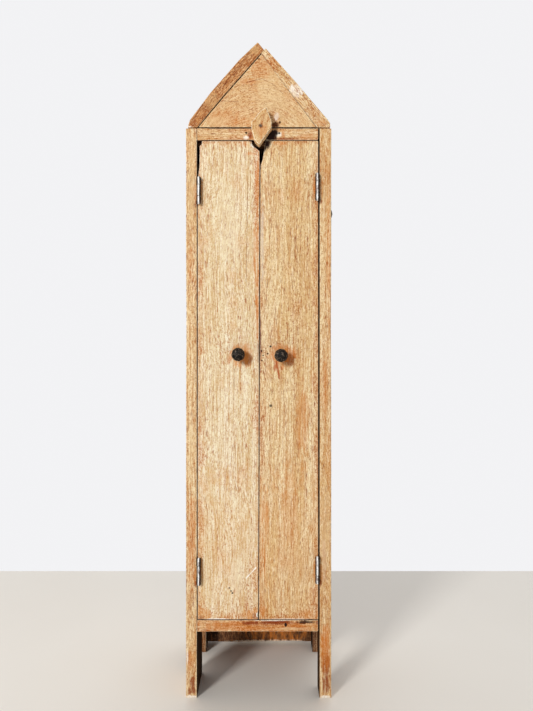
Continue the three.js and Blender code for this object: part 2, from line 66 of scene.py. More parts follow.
def nested_outline(outline, inset, corner, pieces):
    """The outline moved inwards by inset, with rounded corners. A corner given as (u, v, r) has
    its own radius. Every inset gives the same number of points; pieces says how many per side."""
    corners = []
    for i, here in enumerate(outline):
        along = [
            (Vector(there[:2]) - Vector(here[:2])).normalized()
            for there in (outline[i - 1], outline[(i + 1) % len(outline)])
        ]
        normals = [Vector((-along[0].y, along[0].x)), Vector((along[1].y, -along[1].x))]
        mitre = (normals[0] + normals[1]) / (1 + normals[0].dot(normals[1]))
        convex = along[0].cross(along[1]) < 0
        radius = here[2] if len(here) > 2 else corner
        radius += -inset if convex else inset
        corners.append((Vector(here[:2]) - mitre * inset, max(radius, 0.05)))
    arcs = []
    for i, (here, radius) in enumerate(corners):
        before = corners[i - 1][0] - here
        after = corners[(i + 1) % len(corners)][0] - here
        half = before.angle(after) / 2
        reach = min(radius / math.tan(half), before.length * 0.4, after.length * 0.4)
        start = here + before.normalized() * reach
        end = here + after.normalized() * reach
        arc = []
        for k in range(CORNER_STEPS + 1):
            t = k / CORNER_STEPS
            arc.append((1 - t) ** 2 * start + 2 * t * (1 - t) * here + t * t * end)
        arcs.append(arc)
    points = []
    for i, arc in enumerate(arcs):
        following = arcs[(i + 1) % len(arcs)][0]
        points += arc
        points += [arc[-1].lerp(following, k / pieces[i]) for k in range(1, pieces[i])]
    return points


PLANES = {
    "xz": lambda u, v, t: Vector((u, t, v)),
    "yz": lambda u, v, t: Vector((t, u, v)),
    "xy": lambda u, v, t: Vector((u, v, t)),
}
ARC = ((0, 0.6), (30, 1), (60, 1), (90, 0.6))


def edge_profile(radius, far_radius, fade, thickness):
    """(inset, depth, wear) of each ring of a board with rounded edges, near face to far face."""
    rings = [(radius + fade, 0, 0)]
    for degrees, worn in ARC:
        turn = math.radians(degrees)
        rings.append((radius * (1 - math.sin(turn)), radius * (1 - math.cos(turn)), worn))
    rings.append((0, radius + fade, 0))
    rings.append((0, thickness - far_radius - fade, 0))
    for degrees, worn in reversed(ARC):
        turn = math.radians(degrees)
        depth = thickness - far_radius * (1 - math.cos(turn))
        rings.append((far_radius * (1 - math.sin(turn)), depth, worn))
    rings.append((far_radius + fade, thickness, 0))
    return rings


def board_mesh(outline, plane, near, far, wear=0.7, wobble=0.2, seed=1, corner=0.8, fade=1.2,
               step=3.0, chips=(), bow=None, soften=None):
    """A bmesh board: outline in mm, anticlockwise; its faces at near and far along the third
    axis. Its edges are worn round by a varying radius, and chips are (u, v, reach, depth)."""
    sides = zip(outline, [*outline[1:], outline[0]])
    pieces = [max(1, math.ceil((Vector(b[:2]) - Vector(a[:2])).length / step)) for a, b in sides]
    deepest = 1.5 * wear + fade
    points = nested_outline(outline, 0, corner, pieces)
    inner = nested_outline(outline, deepest, corner, pieces)
    thickness = abs(far - near)
    sign = 1 if far > near else -1
    bm = bmesh.new()
    edge_layer = bm.verts.layers.float.new("edge")
    side_layer = bm.verts.layers.float.new("side")
    columns = []
    for p, q in zip(points, inner):
        inwards = (q - p) / deepest
        bite = sum(
            depth * max(0, 1 - (p - Vector((u, v))).length / reach) for u, v, reach, depth in chips
        )
        ripple = 0.5 * rough(p.x, p.y, seed, 9) + 0.4 * rough(p.x, p.y, seed, 2.5)
        softness = soften(p.x, p.y) if soften else 1
        radius = max(wear * (1 + ripple) * softness, 0.05) + bite
        far_radius = max(wear * (1 + 0.6 * rough(p.x, p.y, seed + 3, 11)), 0.1)
        shrink = wobble * softness * (0.5 + 0.5 * rough(p.x, p.y, seed + 5, 34)) + 0.3 * bite
        bows = bow(p.x, p.y) if bow else (0, 0)
        column = []
        for inset, depth, worn in edge_profile(radius, far_radius, fade, thickness):
            at = p + inwards * (inset + shrink)
            share = depth / thickness
            shift = bows[0] * (1 - share) + bows[1] * share
            vert = bm.verts.new(PLANES[plane](at.x, at.y, near + sign * depth + shift) * MM)
            vert[edge_layer] = worn
            vert[side_layer] = float(inset < 1e-6)
            column.append(vert)
        columns.append(column)
    for column, following in zip(columns, [*columns[1:], columns[0]]):
        for k in range(len(column) - 1):
            rim = bm.faces.new((column[k], following[k], following[k + 1], column[k + 1]))
            rim.smooth = True
    caps = [bm.faces.new([column[0] for column in reversed(columns)])]
    caps.append(bm.faces.new([column[-1] for column in columns]))
    bm.normal_update()
    bmesh.ops.triangulate(bm, faces=caps)
    bmesh.ops.recalc_face_normals(bm, faces=bm.faces)
    return bm


def lathe_mesh(profile, place, direction, sides=32, dent=None):
    """A bmesh turned solid. The profile is (radius, distance) in mm along the direction; a
    profile that leaves the axis at both ends closes on itself. dent moves a point in or out."""
    bm = bmesh.new()
    turn = Vector((0, 0, 1)).rotation_difference(Vector(direction)).to_matrix()
    edge_layer = bm.verts.layers.float.new("edge")

    def put(radius, along, k):
        angle = 2 * math.pi * k / sides
        point = Vector((radius * math.cos(angle), radius * math.sin(angle), along))
        if dent:
            point = dent(point)
        vert = bm.verts.new((turn @ point + Vector(place)) * MM)
        vert[edge_layer] = 0.4
        return vert

    rings = []
    for radius, along in profile:
        if radius < 1e-6:
            rings.append([put(0, along, 0)])
        else:
            rings.append([put(radius, along, k) for k in range(sides)])
    if profile[0][0] > 0 and profile[-1][0] > 0:
        rings.append(rings[0])
    for low, high in zip(rings, rings[1:]):
        for k in range(sides):
            quad = [low[k % len(low)], low[(k + 1) % len(low)]]
            quad += [high[(k + 1) % len(high)], high[k % len(high)]]
            corners = list(dict.fromkeys(quad))
            if len(corners) > 2:
                bm.faces.new(corners).smooth = True
    bmesh.ops.recalc_face_normals(bm, faces=bm.faces)
    return bm


def add_piece(name, meshes, body, material, replaces=()):
    """One object from closed bmeshes, riding on a body and standing for CAD nodes."""
    whole = bmesh.new()
    whole.verts.layers.float.new("edge")
    whole.verts.layers.float.new("side")
    for bm in meshes:
        scrap = bpy.data.meshes.new("scrap")
        bm.to_mesh(scrap)
        bm.free()
        whole.from_mesh(scrap)
        bpy.data.meshes.remove(scrap)
    mesh = bpy.data.meshes.new(name)
    whole.to_mesh(mesh)
    whole.free()
    mesh.materials.append(material)
    piece = bpy.data.objects.new(name, mesh)
    bpy.context.scene.collection.objects.link(piece)
    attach(piece, body)
    if replaces:
        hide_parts(*replaces)
    return piece


# ---- Material tools ----

def rgb(red, green, blue):
    """An 8-bit sRGB colour as the linear colour that a shader takes."""
    def linear(value):
        value /= 255
        return value / 12.92 if value <= 0.04045 else ((value + 0.055) / 1.055) ** 2.4
    return (linear(red), linear(green), linear(blue), 1)


class Shader:
    """A node material under construction. Values are sockets or plain numbers; lengths are mm."""

    def __init__(self, name):
        self.material = bpy.data.materials.new(name)
        self.material.use_nodes = True
        self.tree = self.material.node_tree
        self.bsdf = self.tree.nodes["Principled BSDF"]
        coordinates = self.add("ShaderNodeTexCoord")
        self.place = self.scale(coordinates.outputs["Object"], (1 / MM, 1 / MM, 1 / MM))
        self.wander = self.noise(self.place, (0.3, 0.3, 0.12), 3, 0.6, 9.1)

    def add(self, kind, **settings):
        node = self.tree.nodes.new(kind)
        for key, value in settings.items():
            setattr(node, key, value)
        return node

    def put(self, socket, value):
        if isinstance(value, bpy.types.NodeSocket):
            self.tree.links.new(value, socket)
        else:
            socket.default_value = value

    def math(self, operation, first, second=0.0):
        node = self.add("ShaderNodeMath", operation=operation)
        self.put(node.inputs[0], first)
        self.put(node.inputs[1], second)
        return node.outputs[0]

    def plus(self, first, *others):
        for other in others:
            first = self.math("ADD", first, other)
        return first

    def minus(self, first, second):
        return self.math("SUBTRACT", first, second)

    def times(self, first, second):
        return self.math("MULTIPLY", first, second)

    def vector(self, operation, first, second=(0, 0, 0)):
        node = self.add("ShaderNodeVectorMath", operation=operation)
        self.put(node.inputs[0], first)
        self.put(node.inputs[1], second)
        return node.outputs["Value" if operation in ("LENGTH", "DOT_PRODUCT") else "Vector"]

    def scale(self, value, factors):
        return self.vector("MULTIPLY", value, factors)

    def turn(self, value, degrees):
        node = self.add("ShaderNodeVectorRotate", rotation_type="Y_AXIS")
        self.put(node.inputs["Vector"], value)
        node.inputs["Angle"].default_value = math.radians(degrees)
        return node.outputs[0]

    def noise(self, place, factors, detail=2.0, roughness=0.5, seed=0.0):
        node = self.add("ShaderNodeTexNoise", noise_dimensions="4D")
        self.put(node.inputs["Vector"], self.scale(place, factors))
        node.inputs["W"].default_value = seed
        node.inputs["Scale"].default_value = 1
        node.inputs["Detail"].default_value = detail
        node.inputs["Roughness"].default_value = roughness
        return node.outputs["Fac"]

    def step(self, value, low, high, out_low=0.0, out_high=1.0):
        """A smooth step: out_low where value is at low, out_high where it is at high."""
        node = self.add("ShaderNodeMapRange", interpolation_type="SMOOTHSTEP")
        self.put(node.inputs[0], value)
        for socket, number in zip(node.inputs[1:5], (low, high, out_low, out_high)):
            socket.default_value = number
        return node.outputs[0]

    def mix(self, factor, first, second):
        node = self.add("ShaderNodeMix", data_type="RGBA")
        self.put(node.inputs[0], factor)
        self.put(node.inputs[6], first)
        self.put(node.inputs[7], second)
        return node.outputs[2]

    def patch(self, centre, radii, ragged):
        """1 inside an ellipsoid with a ragged, patchy rim, 0 outside."""
        offset = self.vector("SUBTRACT", self.place, centre)
        reach = self.vector("LENGTH", self.scale(offset, [1 / r for r in radii]))
        uneven = self.times(self.minus(self.wander, 0.5), ragged)
        return self.step(self.plus(reach, uneven), 1.0, 0.45)

    def stroke(self, start, end, width):
        """1 along the line between two (x, z) points of the front, fading at width from it."""
        (x1, z1), (x2, z2) = start, end
        along = Vector((x2 - x1, 0, z2 - z1))
        offset = self.vector("SUBTRACT", self.place, (x1, FRONT, z1))
        share = self.vector("DOT_PRODUCT", offset, along / along.length_squared)
        share = self.math("MINIMUM", self.math("MAXIMUM", share, 0), 1)
        scaled = self.add("ShaderNodeVectorMath", operation="SCALE")
        scaled.inputs[0].default_value = along
        self.put(scaled.inputs["Scale"], share)
        away = self.vector("SUBTRACT", offset, scaled.outputs[0])
        reach = self.vector("LENGTH", self.scale(away, (1, 0.2, 1)))
        uneven = self.times(self.minus(self.wander, 0.5), 3 * width)
        return self.step(self.plus(reach, uneven), width, width * 0.2)

    def rim_distance(self, x0, z0, x1, z1):
        """The distance to the nearest side of a rectangle of the front."""
        x = self.vector("DOT_PRODUCT", self.place, (1, 0, 0))
        z = self.vector("DOT_PRODUCT", self.place, (0, 0, 1))
        gaps = [self.minus(x, x0), self.minus(x1, x)]
        gaps += [self.minus(z, z0), self.minus(z1, z)]
        nearest = gaps[0]
        for gap in gaps[1:]:
            nearest = self.math("MINIMUM", nearest, gap)
        return nearest

    def arched(self, place, x, rise):
        """The place lifted by the square of its distance from x: straight grain then arches."""
        away = self.minus(self.vector("DOT_PRODUCT", place, (1, 0, 0)), x)
        lift = self.add("ShaderNodeCombineXYZ")
        self.put(lift.inputs[2], self.times(self.times(away, away), rise / 100))
        return self.vector("ADD", place, lift.outputs[0])

    def attribute(self, name):
        return self.add("ShaderNodeAttribute", attribute_name=name).outputs["Fac"]

    def finish(self, color, roughness, height, depth, metallic=0.0):
        bump = self.add("ShaderNodeBump")
        bump.inputs["Strength"].default_value = 1
        bump.inputs["Distance"].default_value = depth * MM
        self.put(bump.inputs["Height"], height)
        self.put(self.bsdf.inputs["Base Color"], color)
        self.put(self.bsdf.inputs["Roughness"], roughness)
        self.put(self.bsdf.inputs["Metallic"], metallic)
        self.put(self.bsdf.inputs["Normal"], bump.outputs[0])
        return self.material


# ---- Materials ----

# Tones of old wood: the ground from light to dark, then shallow and deep pores, stain, and the
# rubbed, paler wood.
CREAM = dict(
    light=rgb(243, 232, 202), mid=rgb(231, 214, 173), dark=rgb(203, 162, 106), groove=rgb(178, 98, 42),
    pore=rgb(134, 60, 26), stain=rgb(210, 138, 64), rub=rgb(253, 248, 230))
STRAW = dict(
    light=rgb(241, 225, 184), mid=rgb(226, 199, 146), dark=rgb(193, 138, 78), groove=rgb(164, 84, 28),
    pore=rgb(110, 44, 14), stain=rgb(202, 118, 44), rub=rgb(252, 240, 208))
HONEY = dict(
    light=rgb(235, 211, 164), mid=rgb(216, 178, 122), dark=rgb(186, 122, 58), groove=rgb(158, 80, 24),
    pore=rgb(98, 36, 12), stain=rgb(198, 112, 34), rub=rgb(250, 234, 200))
TAWNY = dict(
    light=rgb(216, 158, 98), mid=rgb(190, 126, 66), dark=rgb(150, 82, 32), groove=rgb(120, 56, 22),
    pore=rgb(74, 28, 11), stain=rgb(156, 74, 26), rub=rgb(242, 208, 160))
UMBER = dict(
    light=rgb(150, 100, 60), mid=rgb(112, 68, 38), dark=rgb(74, 42, 22), groove=rgb(60, 32, 17),
    pore=rgb(36, 18, 10), stain=rgb(92, 46, 20), rub=rgb(188, 142, 96))
WHITE = rgb(252, 246, 234)
# Near-black: soot, wormholes and dark lines, and also painted shade and painted shadows.
SOOT_AND_SHADE = rgb(34, 13, 7)
RUSSET = rgb(132, 52, 8)
ORANGE = rgb(206, 118, 36)
PLUM = rgb(112, 62, 48)
# Near-black red-brown for the side faces in the joints: grime, and painted shade in the gaps.
GRIME_AND_SHADE = rgb(52, 18, 10)
WOOD_SHINE = 0.22


def wood(name, tones, grain=0, seed=1.0, marks=(), strokes=(), figure=1.0, porous=1.0, wear_and_highlight=0.6,
         sawn=0.0, gritty=1.0, banded=1.0, arch=None, painted_shade_beyond=None, rim=None, joint_grime_and_shade=False):
    """Old wood, its grain turned from +Z towards +X by so many degrees.

    marks are (x, z, rx, rz, strength, tone) on the front, or (x, y, z, rx, ry, rz, strength, tone),
    and strokes are (start, end, width, strength, tone). A tone is a colour, one of the tones, or
    "specks" for dark dots. Orange comes as streaks, and only the near-black tone, used for soot and
    for painted shade and painted shadows, is even.
    arch is (x, rise): the grain is highest or lowest at that x, by rise mm at 10 mm from it.
    painted_shade_beyond is (x, side, clear): painted shade, near-black and without shine, on the
    faces past x towards that side, but for the (low, high) heights in clear. rim is (x0, z0, x1, z1,
    strength, width): handling grime along the edges of that rectangle. joint_grime_and_shade darkens
    the faces that lie in the joints, as grime and as painted shade in the gaps."""
    s = Shader(name)
    place = s.place
    if arch:
        place = s.arched(place, *arch)
    if grain:
        place = s.turn(place, -grain)
    sway = s.noise(place, (0.02, 0.02, 0.008), 2, 0.5, seed)
    place = s.vector("ADD", place, s.scale(s.vector("ADD", sway, (-0.5, -0.5, -0.5)), (16, 16, 0)))
    bands = s.noise(place, (0.085, 0.085, 0.0035), 3, 0.55, seed + 1)
    streaks = s.noise(place, (0.7, 0.7, 0.016), 3, 0.6, seed + 2)
    fibres = s.noise(place, (2.2, 2.2, 0.1), 2, 0.6, seed + 3)
    dashes = s.noise(place, (1.5, 1.5, 0.17), 1.5, 0.5, seed + 4)
    chains = s.noise(place, (0.42, 0.42, 0.008), 2, 0.5, seed + 5)
    mottle = s.noise(s.place, (0.06, 0.06, 0.035), 4, 0.6, seed + 6)
    speckle = s.noise(s.place, (0.95, 0.95, 0.7), 2, 0.65, seed + 7)
    flecks = s.noise(place, (1.5, 1.5, 0.24), 1.5, 0.5, seed + 9)
    veins = s.noise(place, (0.8, 0.8, 0.024), 3, 0.6, seed + 10)

    banding = s.step(bands, 0.38, 0.6, 0.5 - 0.5 * banded, 0.5 + 0.5 * banded)
    color = s.mix(banding, tones["light"], tones["mid"])
    layers = (
        (streaks, 0.46, 0.68, 0.62 * figure, "dark"), (streaks, 0.44, 0.3, 0.45, "rub"),
        (mottle, 0.5, 0.72, 0.42, "stain"),
        (fibres, 0.52, 0.7, 0.45, "dark"), (fibres, 0.46, 0.3, 0.5, "rub"),
        (veins, 0.5, 0.64, 0.6 * figure, "dark"), (veins, 0.46, 0.32, 0.45 * figure, "rub"),
        (flecks, 0.52, 0.66, 0.72 * gritty, "dark"), (flecks, 0.46, 0.3, 0.5 * gritty, "rub"),
        (speckle, 0.54, 0.66, 0.66 * gritty, "groove"), (speckle, 0.45, 0.3, 0.35 * gritty, "rub"),
    )
    for value, none, full, amount, tone in layers:
        color = s.mix(s.step(value, none, full, 0, amount), color, tones[tone])
    many = s.times(s.step(chains, 0.42, 0.62, 0.1, 1), 0.8 * porous)
    pores = s.times(s.step(dashes, 0.52, 0.64), many)
    color = s.mix(pores, color, s.mix(s.step(dashes, 0.6, 0.74), tones["groove"], tones["pore"]))

    def tone_of(tone):
        if tone == "specks":
            return tones["groove"]
        return tones[tone] if isinstance(tone, str) else tone

    if rim:
        near = s.plus(s.rim_distance(*rim[:4]), s.times(s.minus(mottle, 0.5), 34))
        closeness = s.step(near, rim[5], 0, 0, 1)
        grimed = s.plus(s.times(closeness, 0.26), s.times(speckle, 0.7), s.times(flecks, 0.3))
        color = s.mix(s.times(closeness, 0.32 * rim[4]), color, tones["stain"])
        color = s.mix(s.step(grimed, 0.68, 0.84, 0, rim[4]), color, tones["groove"])
    dots = s.step(s.plus(s.times(speckle, 0.6), s.times(flecks, 0.4)), 0.5, 0.6)
    streaky = s.step(veins, 0.43, 0.54, 0.08, 1)
    uneven = s.times(s.step(speckle, 0.34, 0.52, 0.7, 1), s.step(veins, 0.34, 0.56, 0.6, 1))
    for row in marks:
        x, y, z, rx, ry, rz, strength, tone = row if len(row) == 8 else mark(*row)
        spot = s.patch((x, y, z), (rx, ry, rz), 1.7)
        if tone != SOOT_AND_SHADE:
            pattern = dots if tone == "specks" else streaky if tone == ORANGE else uneven
            spot = s.times(spot, pattern)
        color = s.mix(s.times(spot, strength), color, tone_of(tone))
    for start, end, width, strength, tone in strokes:
        color = s.mix(s.times(s.stroke(start, end, width), strength), color, tone_of(tone))
    edge = s.attribute("edge")
    # Pale rubbed edges: wear, and in part painted highlights on edges that catch the light.
    worn = s.step(s.plus(s.times(edge, 0.62), s.times(speckle, 0.55)), 0.66, 0.86, 0, wear_and_highlight)
    color = s.mix(worn, color, tones["rub"])
    dirt = s.step(s.minus(s.times(edge, 0.5), speckle), -0.06, 0.08, 0, 0.8)
    color = s.mix(dirt, color, tones["pore"])
    shine = WOOD_SHINE
    # Grime and painted shade: the side faces, which lie in the joints and gaps, turn near-black and
    # lose their shine.
    if joint_grime_and_shade:
        depth = s.times(s.attribute("side"), s.step(speckle, 0.3, 0.5, 0.8, 0.97))
        color = s.mix(depth, color, GRIME_AND_SHADE)
        shine = s.times(s.minus(1, depth), WOOD_SHINE)
    # Painted shade: the faces past x, the inner faces of the side boards seen in the gaps and under
    # the arch, turn near-black and lose their shine, but for the heights in clear.
    if painted_shade_beyond:
        x, side, clear = painted_shade_beyond
        across = s.vector("DOT_PRODUCT", s.place, (side, 0, 0))
        inside = s.step(across, side * x - 0.15, side * x + 0.15, 0, 0.95)
        for low, high in clear:
            up = s.vector("DOT_PRODUCT", s.place, (0, 0, 1))
            beside = s.times(s.step(up, low, low + 0.4), s.step(up, high + 0.4, high))
            inside = s.times(inside, s.minus(1, beside))
        color = s.mix(inside, color, SOOT_AND_SHADE)
        shine = s.times(s.minus(1, inside), WOOD_SHINE)
    s.put(s.bsdf.inputs["Specular IOR Level"], shine)

    roughness = s.plus(0.55, s.times(fibres, 0.35))
    height = s.plus(s.times(fibres, 0.35), s.times(streaks, 0.5), s.times(mottle, 0.8))
    height = s.plus(height, s.times(pores, -0.3), s.times(flecks, -0.3), s.times(speckle, 0.25))
    if sawn:
        kerfs = s.noise(s.place, (0.05, 0.05, 1.6), 2, 0.5, seed + 8)
        height = s.plus(height, s.times(kerfs, sawn))
    return s.finish(color, roughness, height, 0.35)


def steel(name, axis_x, seed=1.0):
    """Old steel: black grime and brown rust; a near-white painted highlight, partly rubbed bare metal,
    runs down the left of the barrel at axis_x.
    """
    s = Shader(name)
    broad = s.noise(s.place, (0.5, 0.5, 0.16), 3, 0.6, seed)
    fine = s.noise(s.place, (2.4, 2.4, 2.4), 3, 0.6, seed + 1)
    rusty = s.step(s.plus(s.times(broad, 0.8), s.times(fine, 0.3)), 0.56, 0.66)
    across = s.vector("DOT_PRODUCT", s.place, (1, 0, 0))
    rim = s.plus(across, s.times(broad, 1.4), -0.7)
    # Painted highlight: a band left of the axis is mixed to near-white and made less metallic, so the
    # barrel looks lit on its left.
    painted_highlight_band = s.times(s.step(rim, axis_x + 0.7, axis_x + 0.3), s.step(rim, axis_x - 1.1, axis_x - 0.6))
    wear_and_highlight = s.times(painted_highlight_band, s.minus(1, s.times(rusty, 0.7)))
    grime = s.mix(rusty, rgb(24, 18, 15), s.mix(fine, rgb(36, 16, 8), rgb(118, 60, 26)))
    color = s.mix(wear_and_highlight, grime, s.mix(s.step(fine, 0.3, 0.5), rgb(190, 182, 170), rgb(255, 255, 252)))
    roughness = s.plus(0.3, s.times(fine, 0.16), s.times(rusty, 0.3))
    metallic = s.plus(0.35, s.times(rusty, -0.35), s.times(wear_and_highlight, -0.35))
    s.bsdf.inputs["Specular IOR Level"].default_value = 0.3
    return s.finish(color, roughness, s.plus(fine, s.times(broad, 0.6)), 0.06, metallic)


def iron(name, seed=1.0):
    """Black hammered iron; lighter lines and specks on it are painted highlights of its facets, and
    also rubbed, rusty high spots.
    """
    s = Shader(name)
    broad = s.noise(s.place, (0.35, 0.35, 0.35), 3, 0.55, seed)
    fine = s.noise(s.place, (2.6, 2.6, 2.6), 3, 0.6, seed + 1)
    color = s.mix(s.step(broad, 0.4, 0.7), rgb(10, 9, 9), rgb(34, 31, 29))
    # Painted highlights, in part scratches: light lines along the ridges of a noise, and light specks.
    lumps = s.noise(s.place, (0.3, 0.3, 0.3), 1, 0.5, seed + 2)
    ridge = s.math("ABSOLUTE", s.minus(lumps, 0.5))
    color = s.mix(s.step(ridge, 0.03, 0.005, 0, 0.75), color, rgb(128, 112, 98))
    color = s.mix(s.step(fine, 0.54, 0.7, 0, 0.7), color, rgb(122, 104, 88))
    roughness = s.plus(0.25, s.times(fine, 0.3))
    s.bsdf.inputs["Specular IOR Level"].default_value = 0.3
    return s.finish(color, roughness, s.plus(fine, broad), 0.16, 0.6)


def rusty_iron(name, seed=1.0):
    """Brown rusty iron, as of an old nail."""
    s = Shader(name)
    fine = s.noise(s.place, (1.6, 1.6, 1.6), 3, 0.6, seed)
    color = s.mix(s.step(fine, 0.35, 0.65), rgb(46, 26, 16), rgb(150, 120, 96))
    return s.finish(color, s.plus(0.4, s.times(fine, 0.3)), fine, 0.1, 0.5)


def paint(name, color, shade):
    """Plain studio paint with faint cloudiness."""
    s = Shader(name)
    cloud = s.noise(s.place, (0.004, 0.004, 0.004), 3, 0.5, 3)
    grit = s.noise(s.place, (0.8, 0.8, 0.8), 2, 0.5, 5)
    return s.finish(s.mix(cloud, color, shade), s.plus(0.55, s.times(grit, 0.2)), grit, 0.05)


# ---- Where things are, in mm ----

def centre(node):
    low, high = cad(node)
    return (low + high) / 2


SIDES = ("left", "right")
OUTWARD = {"left": -1, "right": 1}
BOARD = {side: cad(f"{side}_side_board") for side in SIDES}
DOOR = {side: cad(f"{side}_door") for side in SIDES}
STILE = {side: centre(f"{side}_side_board").x for side in SIDES}
KNOB = {side: centre(f"{side}_knob") for side in SIDES}
RAIL_NAIL = {side: centre(f"rail_nail_{side}") for side in SIDES}
HINGE = {
    (side, level): centre(f"{side}_{level}_hinge_pin") for side in SIDES for level in ("top", "bottom")
}
FRONT = BOARD["left"][0].y
EAVE = cad("left_roof_board")[0].z
RAILS = [(cad(node)[0].z, cad(node)[1].z) for node in ("top_rail", "bottom_rail")]
BUTTON_FACE = cad("turn_button")[0].y


def mark(x, z, rx, rz, strength, tone):
    """A mark on the front that reaches 4 mm into the wood."""
    return (x, FRONT, z, rx, 4, rz, strength, tone)


def hinge_marks(side):
    """Rust beside the two barrels: a narrow dark line on the door, spots on the stile."""
    out = OUTWARD[side]
    marks = []
    for level in ("top", "bottom"):
        at = HINGE[side, level]
        marks.append(mark(at.x + 3.6 * out, at.z - 3, 2.6, 13, 0.55, "stain"))
        marks.append(mark(at.x + 3 * out, at.z - 13, 3, 4, 0.7, RUSSET))
        marks.append(mark(at.x - 2.7 * out, at.z, 1.7, 14, 0.8, "stain"))
    return marks


def face_rim(node, strength, width=7):
    low, high = cad(node)
    return (low.x, low.z, high.x, high.z, strength, width)


LEFT_BOARD_WOOD = wood(
    # Painted shade on the board's inner face, but beside the rails.
    "left_board_wood", HONEY, seed=11, wear_and_highlight=0.75, painted_shade_beyond=(BOARD["left"][1].x - 0.2, 1, RAILS),
    marks=[
        *hinge_marks("left"), (STILE["left"] - 1, 36, 5, 14, 0.45, "stain"),
        (STILE["left"] + 0.6, 15, 3.6, 8, 0.95, RUSSET), (STILE["left"], 7, 6, 4.5, 0.8, RUSSET),
        (STILE["left"] - 4, 40, 1, 10, 0.8, WHITE), (STILE["left"], 1, 7, 2.4, 0.9, WHITE),
        (STILE["left"] - 1, 56, 5, 12, 0.35, "light"), (STILE["left"], 500, 5, 50, 0.35, "light"),
        (STILE["left"] - 1, 420, 4, 26, 0.4, "stain"), (STILE["left"], 150, 5, 60, 0.5, "stain"),
        (STILE["left"], 30, 5, 30, 0.5, "specks"), (STILE["left"], 250, 4, 30, 0.35, "light"),
        # Painted shade: the dark brown patch on the back foot, 33 mm back.
        (STILE["left"], 33, 20, 18, 12, 90, 0.95, rgb(104, 54, 20)),
    ])
RIGHT_BOARD_WOOD = wood(
    # Painted shade on the board's inner face.
    "right_board_wood", HONEY, seed=23, wear_and_highlight=0.6, painted_shade_beyond=(BOARD["right"][0].x + 0.45, -1, ()),
    marks=[
        *hinge_marks("right"), (STILE["right"] + 0.5, 30, 4.4, 22, 0.85, RUSSET),
        (STILE["right"] + 1, 12, 4.6, 12, 0.7, RUSSET), (STILE["right"] - 3.4, 12, 1, 8, 0.8, "light"),
        (STILE["right"], 1, 7, 2.2, 0.9, WHITE),
        (STILE["right"] - 1, 135, 3, 30, 0.4, rgb(216, 176, 150)),
        (STILE["right"] + 1, 62, 5, 14, 0.5, "stain"), (STILE["right"], 300, 4, 40, 0.3, "stain"),
        (STILE["right"] + 3, 430, 2.5, 80, 0.4, ORANGE), (STILE["right"], 45, 6, 24, 0.75, "stain"),
        (STILE["right"], 170, 6, 60, 0.3, "light"), (STILE["right"], 30, 5, 26, 0.8, "specks"),
        # Painted shade: the dark brown patch on the back foot, 33 mm back.
        (STILE["right"], 33, 20, 18, 12, 90, 0.95, rgb(86, 38, 14)),
    ])
TOP_RAIL_WOOD = wood(
    "top_rail_wood", HONEY, grain=90, seed=31, figure=0.8, joint_grime_and_shade=True,
    rim=face_rim("top_rail", 0.6, 4),
    marks=[
        (RAIL_NAIL["left"].x + 3.6, 544, 3, 4, 0.85, RUSSET),
        (RAIL_NAIL["left"].x - 0.4, 541.6, 3.2, 2.4, 0.9, WHITE),
        (RAIL_NAIL["right"].x - 1, 544.4, 4.6, 3, 0.95, WHITE),
        (RAIL_NAIL["right"].x + 3.6, 545, 2, 5, 0.7, "stain"), (26, 540.2, 16, 1.6, 0.85, RUSSET),
        # The two near-black patches right of and below the turn button are its painted shadow.
        (46, 543, 9, 3, 0.35, "stain"), (14, 545.5, 6, 6, 1, SOOT_AND_SHADE), (10.5, 541, 8.5, 8.5, 1, SOOT_AND_SHADE),
    ])
LOWER_RAIL_WOOD = wood(
    "lower_rail_wood", HONEY, grain=90, seed=37, figure=0.8, joint_grime_and_shade=True,
    rim=face_rim("bottom_rail", 0.7, 5),
    marks=[
        (0, 70, 80, 8, 0.75, "stain"), (-8, 72.5, 10, 3, 1, RUSSET), (0, 70, 60, 6, 0.7, "specks"),
        (16, 73, 28, 2.8, 1, RUSSET), (46, 73.4, 12, 2.2, 0.9, SOOT_AND_SHADE), (26, 71, 1.6, 2.4, 1, SOOT_AND_SHADE),
        (30, 67, 18, 1.8, 0.5, "light"), (12, 75, 22, 0.7, 0.9, WHITE), (57, 73, 2.4, 3, 0.9, RUSSET),
    ])
INNER_WOOD = wood("inner_wood", UMBER, grain=90, seed=43, sawn=0.5, wear_and_highlight=0.35)
SHELF_WOOD = wood("shelf_wood", UMBER, grain=90, seed=47, sawn=0.3, wear_and_highlight=0.4)
BACK_PANEL = cad("back_panel")[0]
BACK_WOOD = wood(
    "back_wood", UMBER, seed=53, sawn=1.1, wear_and_highlight=0.6, figure=1.3,
    marks=[
        # Painted light on the panel's right part, a painted highlight along its bottom edge, and
        # painted shadow on its left part.
        (20, BACK_PANEL.y, 40, 56, 6, 44, 1, rgb(232, 140, 60)),
        (10, BACK_PANEL.y, BACK_PANEL.z, 60, 9, 3, 1, rgb(252, 232, 204)),
        (-54, BACK_PANEL.y, 40, 15, 6, 50, 0.9, SOOT_AND_SHADE),
    ])
LEFT_ROOF_WOOD = wood(
    "left_roof_wood", TAWNY, grain=40, seed=61, gritty=1.3,
    marks=[
        (-66.5, 552, 3, 1.6, 0.9, WHITE), (-45, 576, 12, 12, 0.35, HONEY["mid"]),
        (-4, 626, 6, 6, 0.5, HONEY["mid"]), (-64, 556, 5, 5, 0.5, RUSSET),
        (-35, 590, 50, 50, 0.5, "specks"),
    ])
